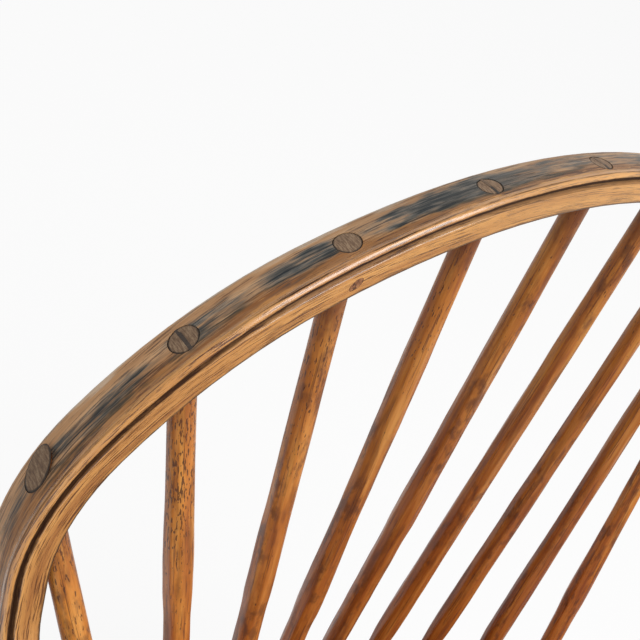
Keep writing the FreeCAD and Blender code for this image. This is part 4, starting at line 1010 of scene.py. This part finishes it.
def seatWood():
    look = seatLook
    material, tree = newMaterial("seatWood")
    eased = easing(tree, look)
    rest = add(tree, "ShaderNodeTexCoord", (), "Object")
    _, back, up = axesOf(tree, rest)
    lengthwise = add(tree, "ShaderNodeMapping", {"Vector": rest, "Rotation": (0.0, 0.0, pi / 2)},
                     vector_type="TEXTURE")
    tone, height, _ = grain(tree, lengthwise, look["grain"])
    # growth rings round the heart, darker towards each year's end
    heart = vectors(tree, "MULTIPLY", vectors(tree, "SUBTRACT", rest, look["pith"]), look["taper"])
    bend = noise(tree, rest, *look["ringBend"])
    distance = maths(tree, "MULTIPLY_ADD", bend, look["ringBendReach"], vectors(tree, "LENGTH", heart, out=1))
    year = maths(tree, "FRACT", maths(tree, "DIVIDE", distance, look["ringPitch"]))
    late = product(tree, eased(year, "ringRise"), eased(year, "ringFall"))
    tone = tint(tree, product(tree, late, look["ringShare"]), tone, look["ringTone"])
    # polished saddle and front edge, soiled deck between the sticks
    cloud = noise(tree, rest, *look["cloud"])
    away = wobble(tree, vectors(tree, "DISTANCE", rest, look["saddle"], out=1), cloud, *look["saddleCloud"])
    tone = tint(tree, span(tree, away, *look["saddleSpan"], look["polish"], 0.0), tone, look["worn"])
    deck = vectors(tree, "DISTANCE", rest, (0.0, stick["circleBack"], look["deckHeight"]), out=1)
    deck = wobble(tree, deck, cloud, *look["edgeCloud"])
    tone = tint(tree, eased(deck, "deckSpan"), tone, look["deckGrime"])
    ahead = wobble(tree, back, cloud, *look["edgeCloud"])
    tone = tint(tree, eased(ahead, "frontEdge"), tone, look["worn"])
    # grime in the gutter
    flat = vectors(tree, "MULTIPLY", rest, (1.0, 1.0, 0.0))
    arc = gutterLine(tree, flat, (0.0, stick["circleBack"], 0.0), look["gutterRadius"])
    arc = product(tree, arc, eased(back, "gutterEnd"))
    x, y, z = look["returnCentre"]
    for side in (-1, 1):
        arc = maths(tree, "MAXIMUM", arc, gutterLine(tree, flat, (side * x, y, z), look["returnRadius"]))
    grimeAndShade = product(tree, arc, eased(up, "gutterTop"), eased(up, "gutterFloor"))
    tone = tint(tree, grimeAndShade, tone, look["gutterTone"])
    finish(tree, tone, span(tree, away, *look["saddleSpan"], *look["gloss"]), height, look)
    return material


dressNode("seat", seatWood())
print("seat dressed")


# studio: pale floor, an even white room and one large soft lamp
studio = {
    "floorSize": 80.0,
    "floorTone": 0.55,
    "floorSeen": 0.95,
    "floorGlow": 0.88,  # share of plain white that the camera sees in the floor
    "roomLevel": 0.48,
    "white": (1.0, 1.0, 1.0, 1.0),
    "lampPlace": (0.47, -1.15, 2.45),
    "lampTarget": (-0.14, 0.24, 0.86),
    "lampTilt": (0.313, -0.653, -0.689),  # way the lamp's longer side runs
    "lampWidth": 1.6,
    "lampLength": 2.0,
    "lampPower": 40.0,
}


def seen(tree):
    # camera, mirror and see-through rays take the room as plain white
    path = tree.nodes.new("ShaderNodeLightPath").outputs
    direct = maths(tree, "MAXIMUM", path["Is Camera Ray"], path["Is Glossy Ray"])
    return maths(tree, "MAXIMUM", direct, path["Is Transmission Ray"])


def layFloor():
    half = studio["floorSize"] / 2
    corners = [(-half, -half, 0), (half, -half, 0), (half, half, 0), (-half, half, 0)]
    mesh = bpy.data.meshes.new("floor")
    mesh.from_pydata(corners, [], [(0, 1, 2, 3)])
    floor = bpy.data.objects.new("floor", mesh)
    scene.collection.objects.link(floor)
    material, tree = newMaterial("paleFloor")
    direct = seen(tree)
    pale = between(tree, direct, studio["floorTone"], studio["floorSeen"])
    matte = add(tree, "ShaderNodeBsdfDiffuse", {"Color": pale})
    glow = add(tree, "ShaderNodeEmission", {"Color": studio["white"], "Strength": 1.0})
    share = product(tree, direct, studio["floorGlow"])
    mixed = add(tree, "ShaderNodeMixShader", (share, matte, glow))
    add(tree, "ShaderNodeOutputMaterial", (mixed,), None)
    mesh.materials.append(material)


def lightRoom():
    world = bpy.data.worlds.new("whiteRoom")
    scene.world = world
    world.use_nodes = True
    tree = world.node_tree
    tree.nodes.clear()
    level = between(tree, seen(tree), studio["roomLevel"], 1.0)
    back = add(tree, "ShaderNodeBackground", {"Color": studio["white"], "Strength": level})
    add(tree, "ShaderNodeOutputWorld", (back,), None)
    lamp = bpy.data.lights.new("softBox", "AREA")
    lamp.shape = "RECTANGLE"
    lamp.size = studio["lampWidth"]
    lamp.size_y = studio["lampLength"]
    lamp.energy = studio["lampPower"]
    box = bpy.data.objects.new("softBox", lamp)
    away = (Vector(studio["lampPlace"]) - Vector(studio["lampTarget"])).normalized()
    side = Vector(studio["lampTilt"]).cross(away).normalized()
    turn = Matrix((side, away.cross(side), away)).transposed().to_4x4()
    box.matrix_world = Matrix.Translation(studio["lampPlace"]) @ turn
    scene.collection.objects.link(box)


layFloor()
lightRoom()

# camera: close over the sitter's right shoulder, looking down and across at the back
view = {
    "place": (-0.37855, 0.08083, 1.10227),
    "yaw": radians(57.382),
    "pitch": radians(43.367),
    "roll": radians(35.44),
    "focalPixels": 948.95,
    "imagePixels": 640.0,
    "sensor": 36.0,
    "clipStart": 0.01,
}


def buildCamera():
    yaw, pitch, roll = view["yaw"], view["pitch"], view["roll"]
    ahead = Vector((sin(yaw) * cos(pitch), cos(yaw) * cos(pitch), -sin(pitch)))
    level = Vector((cos(yaw), -sin(yaw), 0))
    right = level * cos(roll) + level.cross(ahead) * sin(roll)
    lens = bpy.data.cameras.new("photoCamera")
    lens.sensor_width = view["sensor"]
    lens.lens = view["focalPixels"] / view["imagePixels"] * view["sensor"]
    lens.clip_start = view["clipStart"]
    camera = bpy.data.objects.new("photoCamera", lens)
    turn = Matrix((right, right.cross(ahead), -ahead)).transposed().to_4x4()
    camera.matrix_world = Matrix.Translation(view["place"]) @ turn
    scene.collection.objects.link(camera)
    scene.camera = camera


buildCamera()
print("studio and camera set")
